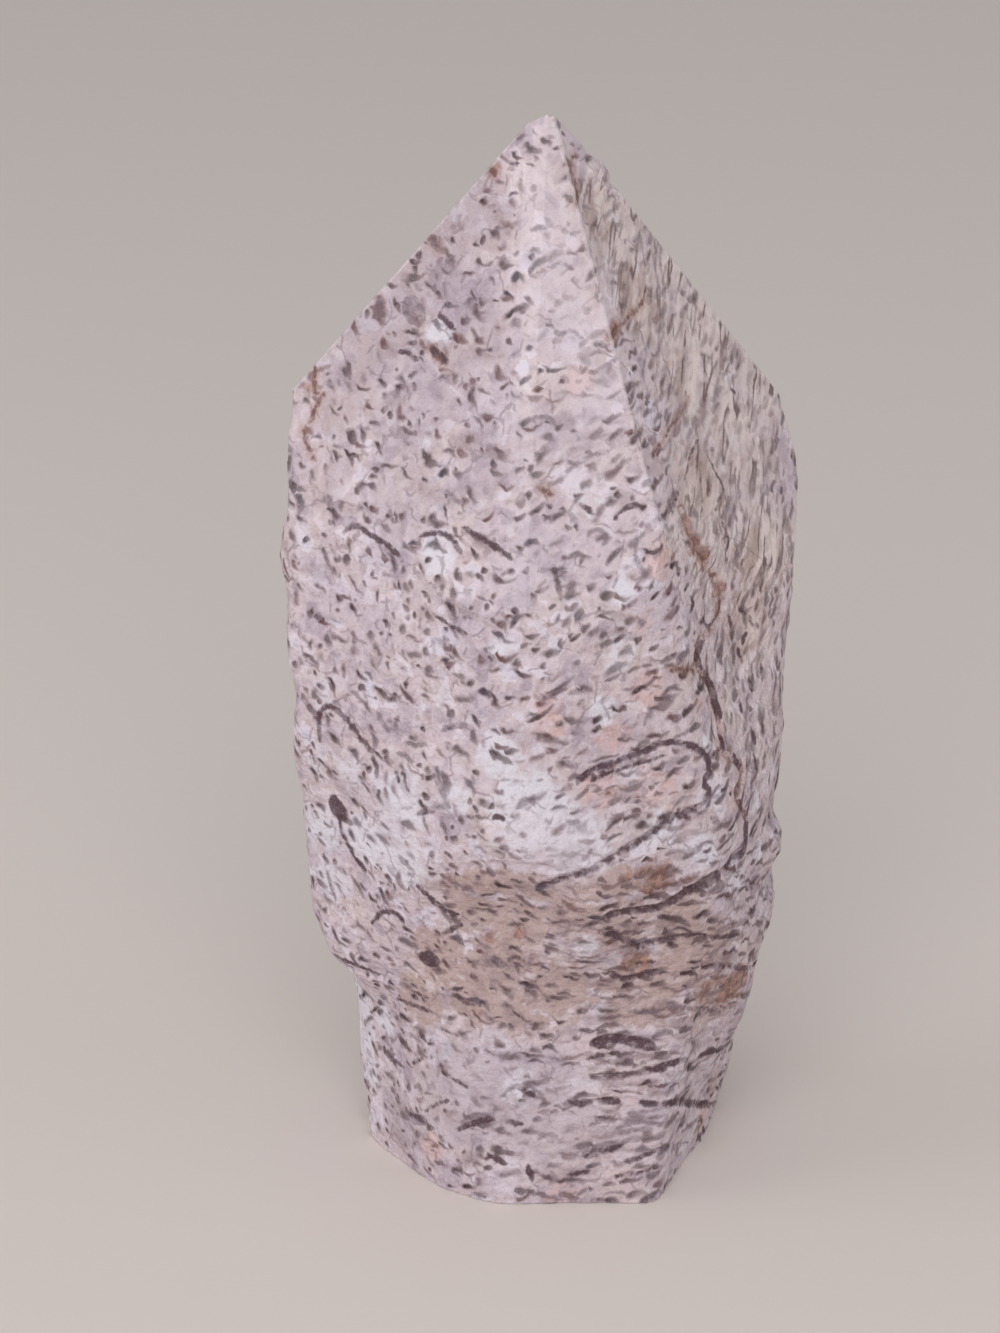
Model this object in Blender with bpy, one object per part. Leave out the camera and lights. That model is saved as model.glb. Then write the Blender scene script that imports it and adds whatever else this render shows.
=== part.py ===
"""A jasper point: one stone, sawn flat underneath, left rough on its sides and ground to a tip.

Lengths are in millimetres until the mesh is made, which is in metres. The stone stands on z = 0
with its front towards -Y. A direction round the stone is an azimuth in degrees: 0 is the front,
90 the right side (+X), 180 the back and -90 the left side. The lean of a side is in degrees back
from upright, and a negative lean overhangs.
"""
from math import ceil, cos, exp, log, pi, radians, sin

import bmesh
import bpy
from mathutils import Vector, noise

MM = 0.001

# The tip stands this high above the sawn base
HEIGHT = 150.0

# Flat faces ground at the tip: azimuth, lean, and a point on the face. The points lie beside each
# other and not all at one place, which leaves the tip a short edge instead of a needle.
GROUND_FACES = {
    "front_left": (-25.0, 20.0, (-1.7, 0.0, HEIGHT - 0.4)),
    "front": (10.0, 20.0, (0.3, 0.0, HEIGHT - 0.5)),
    "right": (60.0, 21.6, (1.6, 0.0, HEIGHT - 1.8)),
    "back_right": (120.0, 39.9, (1.9, 1.3, HEIGHT - 0.8)),
    "back": (178.0, 38.0, (0.3, 0.0, HEIGHT - 0.2)),
    "back_left": (-135.0, 31.5, (-1.7, 0.0, HEIGHT - 0.4)),
}

# Broken sides of the body: azimuth, lean, and a point on the side
BODY_SIDES = {
    "front": (4.0, 9.4, (0.0, -28.8, 53.0)),
    "front_right": (24.0, 8.0, (10.0, -26.7, 56.0)),
    "right": (57.0, 13.5, (34.9, 5.1, 79.0)),
    "right_middle": (64.0, -2.0, (30.5, -9.0, 52.0)),
    "far_right": (92.0, -4.0, (34.9, 10.0, 82.0)),
    "right_low": (84.0, -13.5, (35.8, 5.0, 42.0)),
    "right_heel": (84.0, -40.0, (32.3, 5.0, 22.0)),
    "back_right": (141.0, 2.0, (28.6, 27.0, 60.0)),
    "back_right_low": (136.0, -15.0, (27.2, 25.6, 38.0)),
    "back": (184.0, 3.0, (4.0, 32.0, 60.0)),
    "back_low": (178.0, -17.0, (0.0, 31.0, 40.0)),
    "back_left": (-153.0, 2.0, (-20.0, 26.5, 60.0)),
    "back_left_low": (-148.0, -14.0, (-19.0, 25.5, 38.0)),
    "left": (-102.0, -3.0, (-35.9, -5.0, 87.0)),
    "left_high": (-98.0, 3.0, (-35.6, -4.0, 95.0)),
    "left_low": (-90.0, -19.0, (-33.0, 0.0, 34.5)),
    "left_ledge": (-90.0, -72.0, (-31.0, -5.0, 28.5)),
    "front_left": (-28.0, 8.0, (-18.6, -15.3, 92.1)),
    "front_left_low": (-40.0, -8.0, (-19.0, -15.5, 31.0)),
    "scar_left": (-18.0, -22.0, (0.0, -29.2, 53.5)),
    "scar_right": (22.0, -20.0, (17.0, -27.2, 53.0)),
}

# Sides of the narrower foot, which the body overhangs in front and on the left. Above its top, inside
# the body, the foot draws in by this much for each millimetre up.
FOOT_TOP = 42.0
FOOT_TAPER = 1.4
FOOT_SIDES = {
    "front": (3.0, 2.8, (0.0, -23.3, 0.0)),
    "front_right": (68.0, -6.0, (20.4, -11.0, 0.0)),
    "low_right": (86.0, -14.0, (26.0, 8.0, 0.5)),
    "right": (88.0, -8.0, (31.1, 8.0, 26.0)),
    "back_right": (138.0, -12.0, (19.0, 18.0, 2.0)),
    "back": (184.0, -10.0, (3.0, 24.0, 2.0)),
    "back_left": (-150.0, -10.0, (-16.0, 19.0, 2.0)),
    "left": (-96.0, -6.0, (-25.7, 0.0, 6.0)),
    "front_left": (-57.0, -2.0, (-18.0, -13.3, 0.0)),
    "front_left_corner": (-30.0, 2.0, (-11.9, -20.3, 0.0)),
}

# How far the corners between sides, and the seam between body and foot, are rounded
SIDE_ROUNDING = 0.9
SEAM_ROUNDING = 0.9

# A side this close to edge-on to a direction, as a cosine, doesn't limit the stone there
EDGE_ON = 0.02

# Swellings of the rough skin, and hollows (negative): azimuth, height of the middle, half width,
# half height and rise
GIRTH_RADIUS = 28.0
SWELLINGS = {
    "hollow_right": (72.0, 76.0, 16.0, 16.0, -2.2),
    "dent_left": (-96.0, 70.0, 13.0, 8.0, -3.7),
    "dent_left_low": (-96.0, 56.0, 12.0, 7.0, -0.9),
    "step_left": (-94.0, 89.0, 12.0, 7.0, 1.5),
    "brow": (-2.0, 57.5, 14.0, 7.0, 0.8),
    "lobe_left": (-11.0, 43.5, 7.5, 8.0, -1.3),
    "lobe_right": (28.0, 44.0, 8.0, 8.5, -1.6),
    "knob_right": (84.0, 46.5, 8.0, 4.5, 1.5),
    "knob_right_low": (84.0, 35.0, 8.0, 5.0, 1.6),
    "notch_right": (84.0, 51.5, 8.0, 2.5, -0.8),
    "notch_right_low": (84.0, 40.6, 8.0, 2.5, -0.9),
    "hollow_back": (172.0, 66.0, 22.0, 22.0, -3.2),
    "hollow_back_low": (205.0, 27.0, 18.0, 13.0, -2.0),
    "swelling_back_left": (-130.0, 74.0, 16.0, 16.0, 1.6),
    "hollow_back_right": (128.0, 42.0, 14.0, 13.0, -2.2),
}

# Lumps all over the rough skin: the length and the height of each size of lump
LUMPS = ((15.0, 0.65), (6.5, 0.30))

# Edges of broken layers low on the right side: thickness and length of a layer, how far its edge
# stands out, the height where they start and how far down they take to show in full, and the patch
# round the stone that has them, with the part of it at each end where they fade out
LAYER_THICKNESS = 4.4
LAYER_LENGTH = 19.0
LAYER_RISE = 0.75
LAYERS_TOP = 50.0
LAYERS_FADE = 12.0
LAYERS_AZIMUTH = 62.0
LAYERS_HALF_ANGLE = 52.0
LAYERS_END = 0.6

# The skin is made as rows of points round the stone, up past where the ground faces cut it, with
# upright walls from there to its cap. It is then simplified to this many triangles.
COLUMNS = 180
ROW_HEIGHT = 1.2
SKIN_BOTTOM = -3.0
SKIN_TOP = 126.0
SKIN_CAP = 155.0
TRIANGLES = 7800

# Points closer than this to a cut lie on it, and edges that turn more than this many degrees are
# shaded sharp
CUT_TOLERANCE = 0.01
SHARP_TURN = 30.0

# Pinkish grey stone with a dull skin
STONE_COLOUR = (0.46, 0.37, 0.38, 1.0)
STONE_ROUGHNESS = 0.6


def outward(azimuth, lean):
    """The direction that a side faces."""
    around = radians(azimuth)
    up = radians(lean)
    return Vector((sin(around) * cos(up), -cos(around) * cos(up), sin(up)))


def soft_min(values, rounding):
    """The smallest value, eased where two of them are nearly the same."""
    low = min(values)
    return low - rounding * log(sum(exp((low - value) / rounding) for value in values))


def soft_max(values, rounding):
    return -soft_min([-value for value in values], rounding)


def reach(sides, direction, z):
    """How far a block with these sides reaches from the stone's axis, level, at height z."""
    distances = []
    for azimuth, lean, point in sides.values():
        normal = outward(azimuth, lean)
        offset = normal.dot(Vector(point)) - normal.z * z
        facing = normal.x * direction[0] + normal.y * direction[1]
        if facing > EDGE_ON:
            distances.append(offset / facing)
    return soft_min(distances, SIDE_ROUNDING)


def turn_between(angle, azimuth):
    """The turn in radians from an azimuth to an angle, the short way round."""
    return (angle - radians(azimuth) + pi) % (2.0 * pi) - pi


def swelling(angle, z):
    rise = 0.0
    for azimuth, height, half_width, half_height, full_rise in SWELLINGS.values():
        along = turn_between(angle, azimuth) * GIRTH_RADIUS / half_width
        up = (z - height) / half_height
        off_centre = along * along + up * up
        if off_centre < 1.0:
            rise += full_rise * (1.0 - off_centre) ** 2
    return rise


def lumps(place):
    return sum(height * noise.noise(place / length) for length, height in LUMPS)


def layers(angle, place):
    """Uneven level ridges where the layers broke off, fading out at the edges of their patch."""
    across = 1.0 - abs(turn_between(angle, LAYERS_AZIMUTH)) / radians(LAYERS_HALF_ANGLE)
    down = (LAYERS_TOP - place.z) / LAYERS_FADE
    shown = max(0.0, min(1.0, across / LAYERS_END)) * max(0.0, min(1.0, down))
    flattened = Vector((place.x / LAYER_LENGTH, place.y / LAYER_LENGTH, place.z / LAYER_THICKNESS))
    return shown * LAYER_RISE * noise.noise(flattened)


def skin_radius(angle, z):
    """How far the rough skin is from the stone's axis."""
    direction = (sin(angle), -cos(angle))
    body = reach(BODY_SIDES, direction, z)
    above_foot = max(0.0, z - FOOT_TOP)
    foot = reach(FOOT_SIDES, direction, z - above_foot) - FOOT_TAPER * above_foot
    r = soft_max((body, foot), SEAM_ROUNDING) + swelling(angle, z)
    place = Vector((r * direction[0], r * direction[1], z))
    return r + lumps(place) + layers(angle, place)


def rough_block():
    """The stone before it is sawn and ground, as a closed skin."""
    row_count = ceil((SKIN_TOP - SKIN_BOTTOM) / ROW_HEIGHT)
    step = (SKIN_TOP - SKIN_BOTTOM) / row_count
    heights = [SKIN_BOTTOM + step * row for row in range(row_count + 1)]
    heights.append(SKIN_CAP)
    bm = bmesh.new()
    rows = []
    for z in heights:
        row = []
        for column in range(COLUMNS):
            angle = 2.0 * pi * column / COLUMNS
            r = skin_radius(angle, min(z, SKIN_TOP))
            row.append(bm.verts.new(Vector((r * sin(angle), -r * cos(angle), z)) * MM))
        rows.append(row)
    for lower, upper in zip(rows, rows[1:]):
        for i in range(COLUMNS):
            j = (i + 1) % COLUMNS
            bm.faces.new((lower[i], lower[j], upper[j], upper[i]))
    bm.faces.new(list(reversed(rows[0])))
    bm.faces.new(rows[-1])
    return bm


def simplified(bm):
    """The same skin with few, large faces where it is flat."""
    mesh = bpy.data.meshes.new("rough_block")
    bm.to_mesh(mesh)
    bm.free()
    block = bpy.data.objects.new("rough_block", mesh)
    bpy.context.collection.objects.link(block)
    mesh.calc_loop_triangles()
    fewer = block.modifiers.new("fewer_faces", "DECIMATE")
    fewer.ratio = TRIANGLES / len(mesh.loop_triangles)
    fewer.use_collapse_triangulate = True
    evaluated = block.evaluated_get(bpy.context.evaluated_depsgraph_get())
    light = bmesh.new()
    light.from_mesh(evaluated.to_mesh())
    bpy.data.objects.remove(block)
    return light


def cut_flat(bm, point, normal):
    """Take off everything beyond a plane, and close the cut with one flat face."""
    cut = bmesh.ops.bisect_plane(
        bm,
        geom=bm.verts[:] + bm.edges[:] + bm.faces[:],
        dist=CUT_TOLERANCE * MM,
        plane_co=point,
        plane_no=normal,
        clear_outer=True,
    )
    rim = [item for item in cut["geom_cut"] if isinstance(item, bmesh.types.BMEdge)]
    bmesh.ops.contextual_create(bm, geom=rim)


def stone_material():
    material = bpy.data.materials.new("jasper")
    material.use_nodes = True
    shader = material.node_tree.nodes["Principled BSDF"]
    shader.inputs["Base Color"].default_value = STONE_COLOUR
    shader.inputs["Roughness"].default_value = STONE_ROUGHNESS
    shader.inputs["Metallic"].default_value = 0.0
    return material


def jasper_point():
    bm = simplified(rough_block())
    cut_flat(bm, Vector((0.0, 0.0, 0.0)), Vector((0.0, 0.0, -1.0)))
    for azimuth, lean, point in GROUND_FACES.values():
        cut_flat(bm, Vector(point) * MM, outward(azimuth, lean))
    bmesh.ops.triangulate(bm, faces=bm.faces[:])
    mesh = bpy.data.meshes.new("jasper_point")
    bm.to_mesh(mesh)
    bm.free()
    mesh.materials.append(stone_material())
    mesh.shade_smooth()
    mesh.set_sharp_from_angle(angle=radians(SHARP_TURN))
    stone = bpy.data.objects.new("jasper_point", mesh)
    bpy.context.collection.objects.link(stone)
    return stone


for old in list(bpy.data.objects):
    bpy.data.objects.remove(old)
jasper_point()
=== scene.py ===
# %% [markdown]
# # A jasper point
#
# The real object is one piece of stone. Its foot was sawn flat, so that it stands. Its sides were
# left as they broke, and only the tip was ground to flat faces and polished a little.
#
# The solid stone is already made and packed, and it is our fixed frame: we load it, and never move
# or change it. This lesson makes a finer copy of its skin, grinds the tip crisp again, and gives
# the stone its speckled pattern with material nodes.

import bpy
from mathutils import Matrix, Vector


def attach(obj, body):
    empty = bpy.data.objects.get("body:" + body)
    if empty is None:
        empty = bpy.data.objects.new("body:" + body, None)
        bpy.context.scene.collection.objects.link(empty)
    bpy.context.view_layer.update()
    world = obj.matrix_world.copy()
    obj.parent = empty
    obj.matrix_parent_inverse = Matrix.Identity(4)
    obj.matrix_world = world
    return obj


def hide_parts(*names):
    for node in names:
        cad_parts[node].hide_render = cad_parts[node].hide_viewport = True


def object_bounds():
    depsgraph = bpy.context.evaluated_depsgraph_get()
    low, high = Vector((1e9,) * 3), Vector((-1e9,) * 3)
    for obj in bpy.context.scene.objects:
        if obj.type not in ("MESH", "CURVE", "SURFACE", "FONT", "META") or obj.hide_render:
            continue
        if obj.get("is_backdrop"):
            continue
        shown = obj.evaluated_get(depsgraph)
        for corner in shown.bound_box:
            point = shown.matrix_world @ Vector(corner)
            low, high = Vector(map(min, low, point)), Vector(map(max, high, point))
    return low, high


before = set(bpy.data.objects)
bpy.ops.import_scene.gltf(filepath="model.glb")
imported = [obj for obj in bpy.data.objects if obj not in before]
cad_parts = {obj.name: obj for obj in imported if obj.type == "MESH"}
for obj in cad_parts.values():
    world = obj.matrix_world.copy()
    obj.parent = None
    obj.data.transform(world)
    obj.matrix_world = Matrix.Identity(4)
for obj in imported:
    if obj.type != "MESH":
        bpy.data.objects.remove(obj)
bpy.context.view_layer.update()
solid_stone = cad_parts["jasper_point"]
print("solid stone:", len(solid_stone.data.polygons), "faces")

# %% [markdown]
# ## Tools and units
#
# bpy is Blender itself. bmesh edits meshes point by point, mathutils finds places and makes noise,
# and numpy works on all points at once. Blender counts in metres, but a stone worker thinks in
# millimetres, so sizes are written as a number of millimetres times MM.

# %% Get the tools
from math import atan2, cos, degrees, pi, radians, sin, sqrt, tan

import bmesh
import bpy
import numpy as np
from mathutils import Vector, geometry, kdtree, noise
from mathutils.bvhtree import BVHTree

MM = 0.001
scene = bpy.context.scene

# %% [markdown]
# ## The camera
#
# The camera comes first, because later steps find marks on the stone through it. A long lens from
# 0.6 m away flattens perspective, as in the photo: the upright edges of the stone hardly lean
# together. The camera looks down by 20 degrees. Its place was found by making the tip, the corners
# and the foot of the solid land on the same pixels as in the photo.

# %% Place the camera
PHOTO_WIDTH, PHOTO_HEIGHT = 1000, 1333
FOCAL_PIXELS = 4310.0
SENSOR_MM = 36.0
LOOK_DOWN = radians(20.0)
CAMERA_DISTANCE = 0.60
AIM = Vector((-0.0061, 0.0, 0.0716))

camera_data = bpy.data.cameras.new("camera")
camera_data.sensor_width = SENSOR_MM
camera_data.lens = FOCAL_PIXELS * SENSOR_MM / PHOTO_HEIGHT
camera = bpy.data.objects.new("camera", camera_data)
camera.location = AIM + CAMERA_DISTANCE * Vector((0.0, -cos(LOOK_DOWN), sin(LOOK_DOWN)))
camera.rotation_euler = (pi / 2 - LOOK_DOWN, 0.0, 0.0)
scene.collection.objects.link(camera)
scene.camera = camera
print("lens:", round(camera_data.lens, 1), "mm")

# %% [markdown]
# ## Where the stone was sawn and ground
#
# On the real stone a cut is truly flat, and two cuts meet in a straight edge. The solid's large flat
# faces tell us where the cuts are, so we measure them instead of writing their sizes down again:
# start from the largest triangle, and gather every other triangle that lies in the same plane.

# %% Find the cuts
SAME_DIRECTION = cos(radians(0.4))
SAME_PLANE = 0.02 * MM
LEAST_CUT_AREA = 150.0 * MM * MM


def find_cuts(bm):
    """The planes of a mesh's large flat faces, each as its direction and its distance from zero."""
    found = []
    left = sorted(bm.faces, key=lambda face: face.calc_area(), reverse=True)
    while left:
        direction = left[0].normal.copy()
        distance = direction.dot(left[0].verts[0].co)
        inside = []
        outside = []
        for face in left:
            flat = face.normal.dot(direction) > SAME_DIRECTION
            near = max(abs(direction.dot(corner.co) - distance) for corner in face.verts) < SAME_PLANE
            (inside if flat and near else outside).append(face)
        if sum(face.calc_area() for face in inside) < LEAST_CUT_AREA:
            break
        found.append((direction, distance))
        left = outside
    return found


rough = bmesh.new()
rough.from_mesh(solid_stone.data)
bmesh.ops.remove_doubles(rough, verts=rough.verts, dist=0.001 * MM)
rough.normal_update()
cuts = find_cuts(rough)
for direction, distance in cuts:
    print("cut facing", [round(part, 3) for part in direction], "at", round(distance / MM, 2), "mm")

# %% [markdown]
# ## A little too much stone
#
# The next steps make a fine, rough skin, and they would round off the crisp edges of the cuts. So we
# do what a stone worker does: leave a little too much stone on each cut face, work the skin, and
# grind the cuts last. A corner between two or three cuts has to move out from all of them by the
# same amount. Least squares finds the step that does that.

# %% Leave too much stone on the cut faces
GRINDING_ALLOWANCE = 0.5 * MM


def cut_of(face):
    """The number of the cut that a face lies in, or None."""
    for number, (direction, distance) in enumerate(cuts):
        if face.normal.dot(direction) > SAME_DIRECTION:
            if max(abs(direction.dot(corner.co) - distance) for corner in face.verts) < SAME_PLANE:
                return number
    return None


cut_faces = [face for face in rough.faces if cut_of(face) is not None]
raised = bmesh.ops.extrude_face_region(rough, geom=cut_faces)["geom"]
for corner in [item for item in raised if isinstance(item, bmesh.types.BMVert)]:
    through = [cut[0] for cut in cuts if abs(cut[0].dot(corner.co) - cut[1]) < SAME_PLANE]
    step = np.linalg.lstsq(np.array(through), np.full(len(through), GRINDING_ALLOWANCE), rcond=None)[0]
    corner.co += Vector(step)
print("triangles raised:", len(cut_faces))

# %% [markdown]
# ## An even, fine skin
#
# The solid has large triangles, and they would show as flat spots. More points are needed, evenly
# spread. Subdividing would keep the long thin triangles long and thin. A voxel remesh instead wraps
# any closed shape in small even squares, which is what a skin without grain direction wants.

# %% Wrap it in even squares
SKIN_STEP = 0.65 * MM


def object_from(bm, name):
    """Turn an edited mesh into an object in the scene."""
    mesh = bpy.data.meshes.new(name)
    bm.to_mesh(mesh)
    bm.free()
    made = bpy.data.objects.new(name, mesh)
    scene.collection.objects.link(made)
    return made


def apply_modifiers(made):
    """Keep what the modifiers show as the object's own mesh."""
    result = made.evaluated_get(bpy.context.evaluated_depsgraph_get())
    mesh = bpy.data.meshes.new_from_object(result)
    made.modifiers.clear()
    made.data = mesh


stone = object_from(rough, "jasper_stone")
wrap = stone.modifiers.new("even_skin", "REMESH")
wrap.mode = "VOXEL"
wrap.voxel_size = SKIN_STEP
apply_modifiers(stone)
print("even skin:", len(stone.data.polygons), "squares")

# %% [markdown]
# ## Smoothing before roughening
#
# The corners of the solid's triangles have to go before the real roughness comes. The Smooth
# modifier does that, but it would also pull the cuts inwards. A vertex group holds a weight from 0
# to 1 for every point, and the modifier moves a point only by its weight: here 0 at the cuts, and 1
# a little below them. The foot is rounder than the body, so it has a group of its own.

# %% Say which points may move
SMOOTHING_DEPTH = 0.7 * MM
FOOT_TOP = 42.0 * MM
FOOT_FADE = 8.0 * MM


def limited(value):
    """The value, but not below 0 and not above 1."""
    return max(0.0, min(1.0, value))


def depth_under_cuts(place):
    """How far a point is inside the nearest cut."""
    return min(distance - direction.dot(place) for direction, distance in cuts)


free_skin = stone.vertex_groups.new(name="free_skin")
foot_skin = stone.vertex_groups.new(name="foot_skin")
held = 0
for vertex in stone.data.vertices:
    free = limited(depth_under_cuts(vertex.co) / SMOOTHING_DEPTH)
    in_foot = limited((FOOT_TOP - vertex.co.z) / FOOT_FADE)
    free_skin.add([vertex.index], free, "REPLACE")
    foot_skin.add([vertex.index], in_foot * free, "REPLACE")
    held += free == 0.0
print("points:", len(stone.data.vertices), "of them held at the cuts:", held)

# %% [markdown]
# The skin is smoothed a few times all over. The foot then goes through many more rounds, which melt
# the upright corners that the solid has there into the soft curve that the photo shows.

# %% Smooth the skin, and the foot much more
SMOOTHING = ((free_skin, 10), (foot_skin, 120))
SMOOTHING_PULL = 0.5

for group, rounds in SMOOTHING:
    soften = stone.modifiers.new(group.name, "SMOOTH")
    soften.factor = SMOOTHING_PULL
    soften.iterations = rounds
    soften.vertex_group = group.name
    print("smoothing", group.name, rounds, "times")
apply_modifiers(stone)
stone.vertex_groups.clear()

# %% [markdown]
# ## The broken skin
#
# Stone breaks in small flat chips with sharp valleys between them, over wider dents and under a
# fine grain. Each point therefore moves in or out by noises of several sizes. The chips come from
# the Voronoi pattern: the distance to the second nearest of many scattered places, less that to the
# nearest, is 0 on the borders and rises to a dome between them. Moving real points, and not only
# shading them, shows on the outline.

# %% Roughen the skin
DENTS = (5.5 * MM, 0.30 * MM)
CHIPS = (3.4 * MM, 0.40 * MM)
SMALL_CHIPS = (1.7 * MM, 0.17 * MM)
GRAIN = (0.9 * MM, 0.06 * MM)
CHIP_MIDDLE = 0.4


def chips(place, size):
    """Domes with sharp valleys between them, like the chips along a broken face, from 0 to about 1."""
    nearest = noise.voronoi(place / size)[0]
    return nearest[1] - nearest[0]


def roughness_at(place):
    """How far the skin stands out at a place; below zero is inwards."""
    rise = DENTS[1] * noise.noise(place / DENTS[0])
    rise += CHIPS[1] * (chips(place, CHIPS[0]) - CHIP_MIDDLE)
    rise += SMALL_CHIPS[1] * (chips(place, SMALL_CHIPS[0]) - CHIP_MIDDLE)
    return rise + GRAIN[1] * noise.noise(place / GRAIN[0])


work = bmesh.new()
work.from_mesh(stone.data)
work.normal_update()
moves = [roughness_at(vertex.co) * vertex.normal for vertex in work.verts]
for vertex, move in zip(work.verts, moves):
    vertex.co += move
print("skin moved by up to", round(max(move.length for move in moves) / MM, 2), "mm")

# %% [markdown]
# ## Grinding the cuts
#
# Every cut is now made for real: all stone beyond its plane goes, and the hole is closed with one
# flat face. Blender's bisect does this in one call, and unlike a Boolean it needs no cutting body.

# %% Cut with planes
CUT_TOLERANCE = 0.002 * MM


def cut_flat(bm, direction, distance):
    """Take away what lies beyond a plane, and close the hole with one face."""
    cut = bmesh.ops.bisect_plane(
        bm,
        geom=bm.verts[:] + bm.edges[:] + bm.faces[:],
        dist=CUT_TOLERANCE,
        plane_co=direction * distance,
        plane_no=direction,
        clear_outer=True,
    )
    rim = [item for item in cut["geom_cut"] if isinstance(item, bmesh.types.BMEdge)]
    bmesh.ops.contextual_create(bm, geom=rim)


for direction, distance in cuts:
    cut_flat(work, direction, distance)
print("cuts made:", len(cuts))

# %% [markdown]
# A stone that is handled has no knife edges, so each ridge between two ground faces is taken off by
# a very narrow cut of its own, and so is the tip. Where two faces meet at a blunt angle, polishing
# has rounded the ridge over: there the cut is much wider, and it is shaded smooth later on. The cut
# faces halfway between its two neighbours, and how deep it goes follows from its width.

# %% Wear down the ridges between the ground faces
WORN_WIDTH = 0.36 * MM
BLUNT_WIDTH = 3.0 * MM
SHARP_TURN = radians(20.0)
TIP_WEAR = 0.12 * MM
UPWARD = Vector((0.0, 0.0, 1.0))

ground = [cut for cut in cuts if cut[0].z > 0.0]
ground.sort(key=lambda cut: atan2(cut[0].x, -cut[0].y))
worn = []
for (first, first_distance), (second, second_distance) in zip(ground, ground[1:] + ground[:1]):
    middle = (first + second).normalized()
    turn = first.angle(middle)
    width = WORN_WIDTH if turn > SHARP_TURN else BLUNT_WIDTH
    on_edge = np.linalg.lstsq(np.array((first, second)), (first_distance, second_distance), rcond=None)[0]
    worn.append((middle, middle.dot(Vector(on_edge)) - width / 2.0 * tan(turn)))
    print("ridge of", round(degrees(2.0 * turn)), "degrees, worn", round(width / MM, 2), "mm wide")
worn.append((UPWARD, max(vertex.co.z for vertex in work.verts) - TIP_WEAR))
for direction, distance in worn:
    cut_flat(work, direction, distance)

# %% [markdown]
# ## Points inside the flat faces
#
# A cut closed by one large face has no points inside it, so nothing could be painted or worn there.
# Each flat face is therefore filled again with small even triangles. Blender's Delaunay function
# does this: it is given the rim and an even pattern of points inside it. First the long edges are
# split into short steps, so that the triangles at the rim are small too.

# %% Split the long edges
FILL_STEP = 0.8 * MM


def split_long_edges(bm, edges, step):
    """Cut each edge into equal pieces, about one step long."""
    for edge in edges:
        corner = edge.verts[0]
        pieces = round(edge.calc_length() / step)
        for left in range(pieces, 1, -1):
            corner = bmesh.utils.edge_split(edge, corner, 1.0 / left)[1]


long_edges = [edge for edge in work.edges if edge.calc_length() > 2.0 * FILL_STEP]
split_long_edges(work, long_edges, FILL_STEP)
print("long edges split:", len(long_edges))

# %% [markdown]
# The pattern of points is rows, each shifted by half a step, which makes equal-sided triangles. A
# point is inside the outline if a level line from it crosses the outline an odd number of times.

# %% Even points inside an outline
RIM_GAP = 0.55


def points_inside(outline, step):
    """Rows of evenly spaced points inside a flat outline, none of them close to its corners."""
    low = outline.min(0)
    high = outline.max(0)
    rows = []
    for row, row_y in enumerate(np.arange(low[1], high[1], step * sqrt(3.0) / 2.0)):
        for row_x in np.arange(low[0] + step * (row % 2) / 2.0, high[0], step):
            rows.append((row_x, row_y))
    x, y = np.array(rows).T
    inside = np.zeros(len(rows), bool)
    near = np.zeros(len(rows), bool)
    for (x0, y0), (x1, y1) in zip(outline, np.roll(outline, -1, axis=0)):
        if y0 != y1:
            crosses = (y < y0) != (y < y1)
            inside ^= crosses & (x < x0 + (y - y0) * (x1 - x0) / (y1 - y0))
        near |= np.hypot(x - x0, y - y0) < RIM_GAP * step
    return np.array(rows)[inside & ~near]


square = np.array(((0.0, 0.0), (4.0, 0.0), (4.0, 4.0), (0.0, 4.0)))
print("points inside a square of 4 mm:", len(points_inside(square, FILL_STEP / MM)))

# %% [markdown]
# Edges where a flat face meets the broken skin stay sharp in the shading, and so do the worn ridges
# that turn a lot. A ridge that turns only a little is shaded smooth, as polished stone looks.

# %% Fill the flat faces
MOST_CORNERS_IN_SKIN = 8
TRIANGLES_INSIDE = 1
SAME_POINT = 1e-7


def fill_evenly(bm, face, step):
    """Put small even triangles in the place of one large flat face."""
    normal = face.normal.copy()
    across = normal.orthogonal().normalized()
    up = normal.cross(across)
    middle = face.calc_center_median()
    rim = list(face.verts)
    outline = np.array([((v.co - middle).dot(across), (v.co - middle).dot(up)) for v in rim]) / MM
    flat_points = [Vector(point) for point in [*outline, *points_inside(outline, step / MM)]]
    rim_numbers = [list(range(len(rim)))]
    filled = geometry.delaunay_2d_cdt(flat_points, [], rim_numbers, TRIANGLES_INSIDE, SAME_POINT)
    filled_places, _, triangles, sources, _, _ = filled
    bm.faces.remove(face)
    corners = []
    for flat_place, source in zip(filled_places, sources):
        if source and source[0] < len(rim):
            corners.append(rim[source[0]])
        else:
            corners.append(bm.verts.new(middle + (across * flat_place.x + up * flat_place.y) * MM))
    for triangle in triangles:
        bm.faces.new([corners[number] for number in triangle])


flat_faces = [face for face in work.faces if len(face.verts) > MOST_CORNERS_IN_SKIN]
flat_set = set(flat_faces)
for face in flat_faces:
    for edge in face.edges:
        edge.smooth = flat_set.issuperset(edge.link_faces) and edge.calc_face_angle(pi) < SHARP_TURN
for face in flat_faces:
    fill_evenly(work, face, FILL_STEP)
loose = [vertex for vertex in work.verts if not vertex.link_faces]
bmesh.ops.delete(work, geom=loose, context="VERTS")
bmesh.ops.recalc_face_normals(work, faces=work.faces[:])
print("flat faces filled:", len(flat_faces))

# %% [markdown]
# ## Finding a place on the stone
#
# Many marks on the real stone are known by where they are in the photo. A ray from the camera
# through such a pixel hits the stone at the mark's place in space. That makes the list of marks
# below short and easy to read, and each mark stays on the stone in every other view.

# %% From a pixel to a place on the stone
finder = BVHTree.FromBMesh(work)
VIEW_RIGHT = Vector((1.0, 0.0, 0.0))
VIEW_UP = Vector((0.0, sin(LOOK_DOWN), cos(LOOK_DOWN)))
VIEW_AHEAD = Vector((0.0, cos(LOOK_DOWN), -sin(LOOK_DOWN)))


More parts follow.
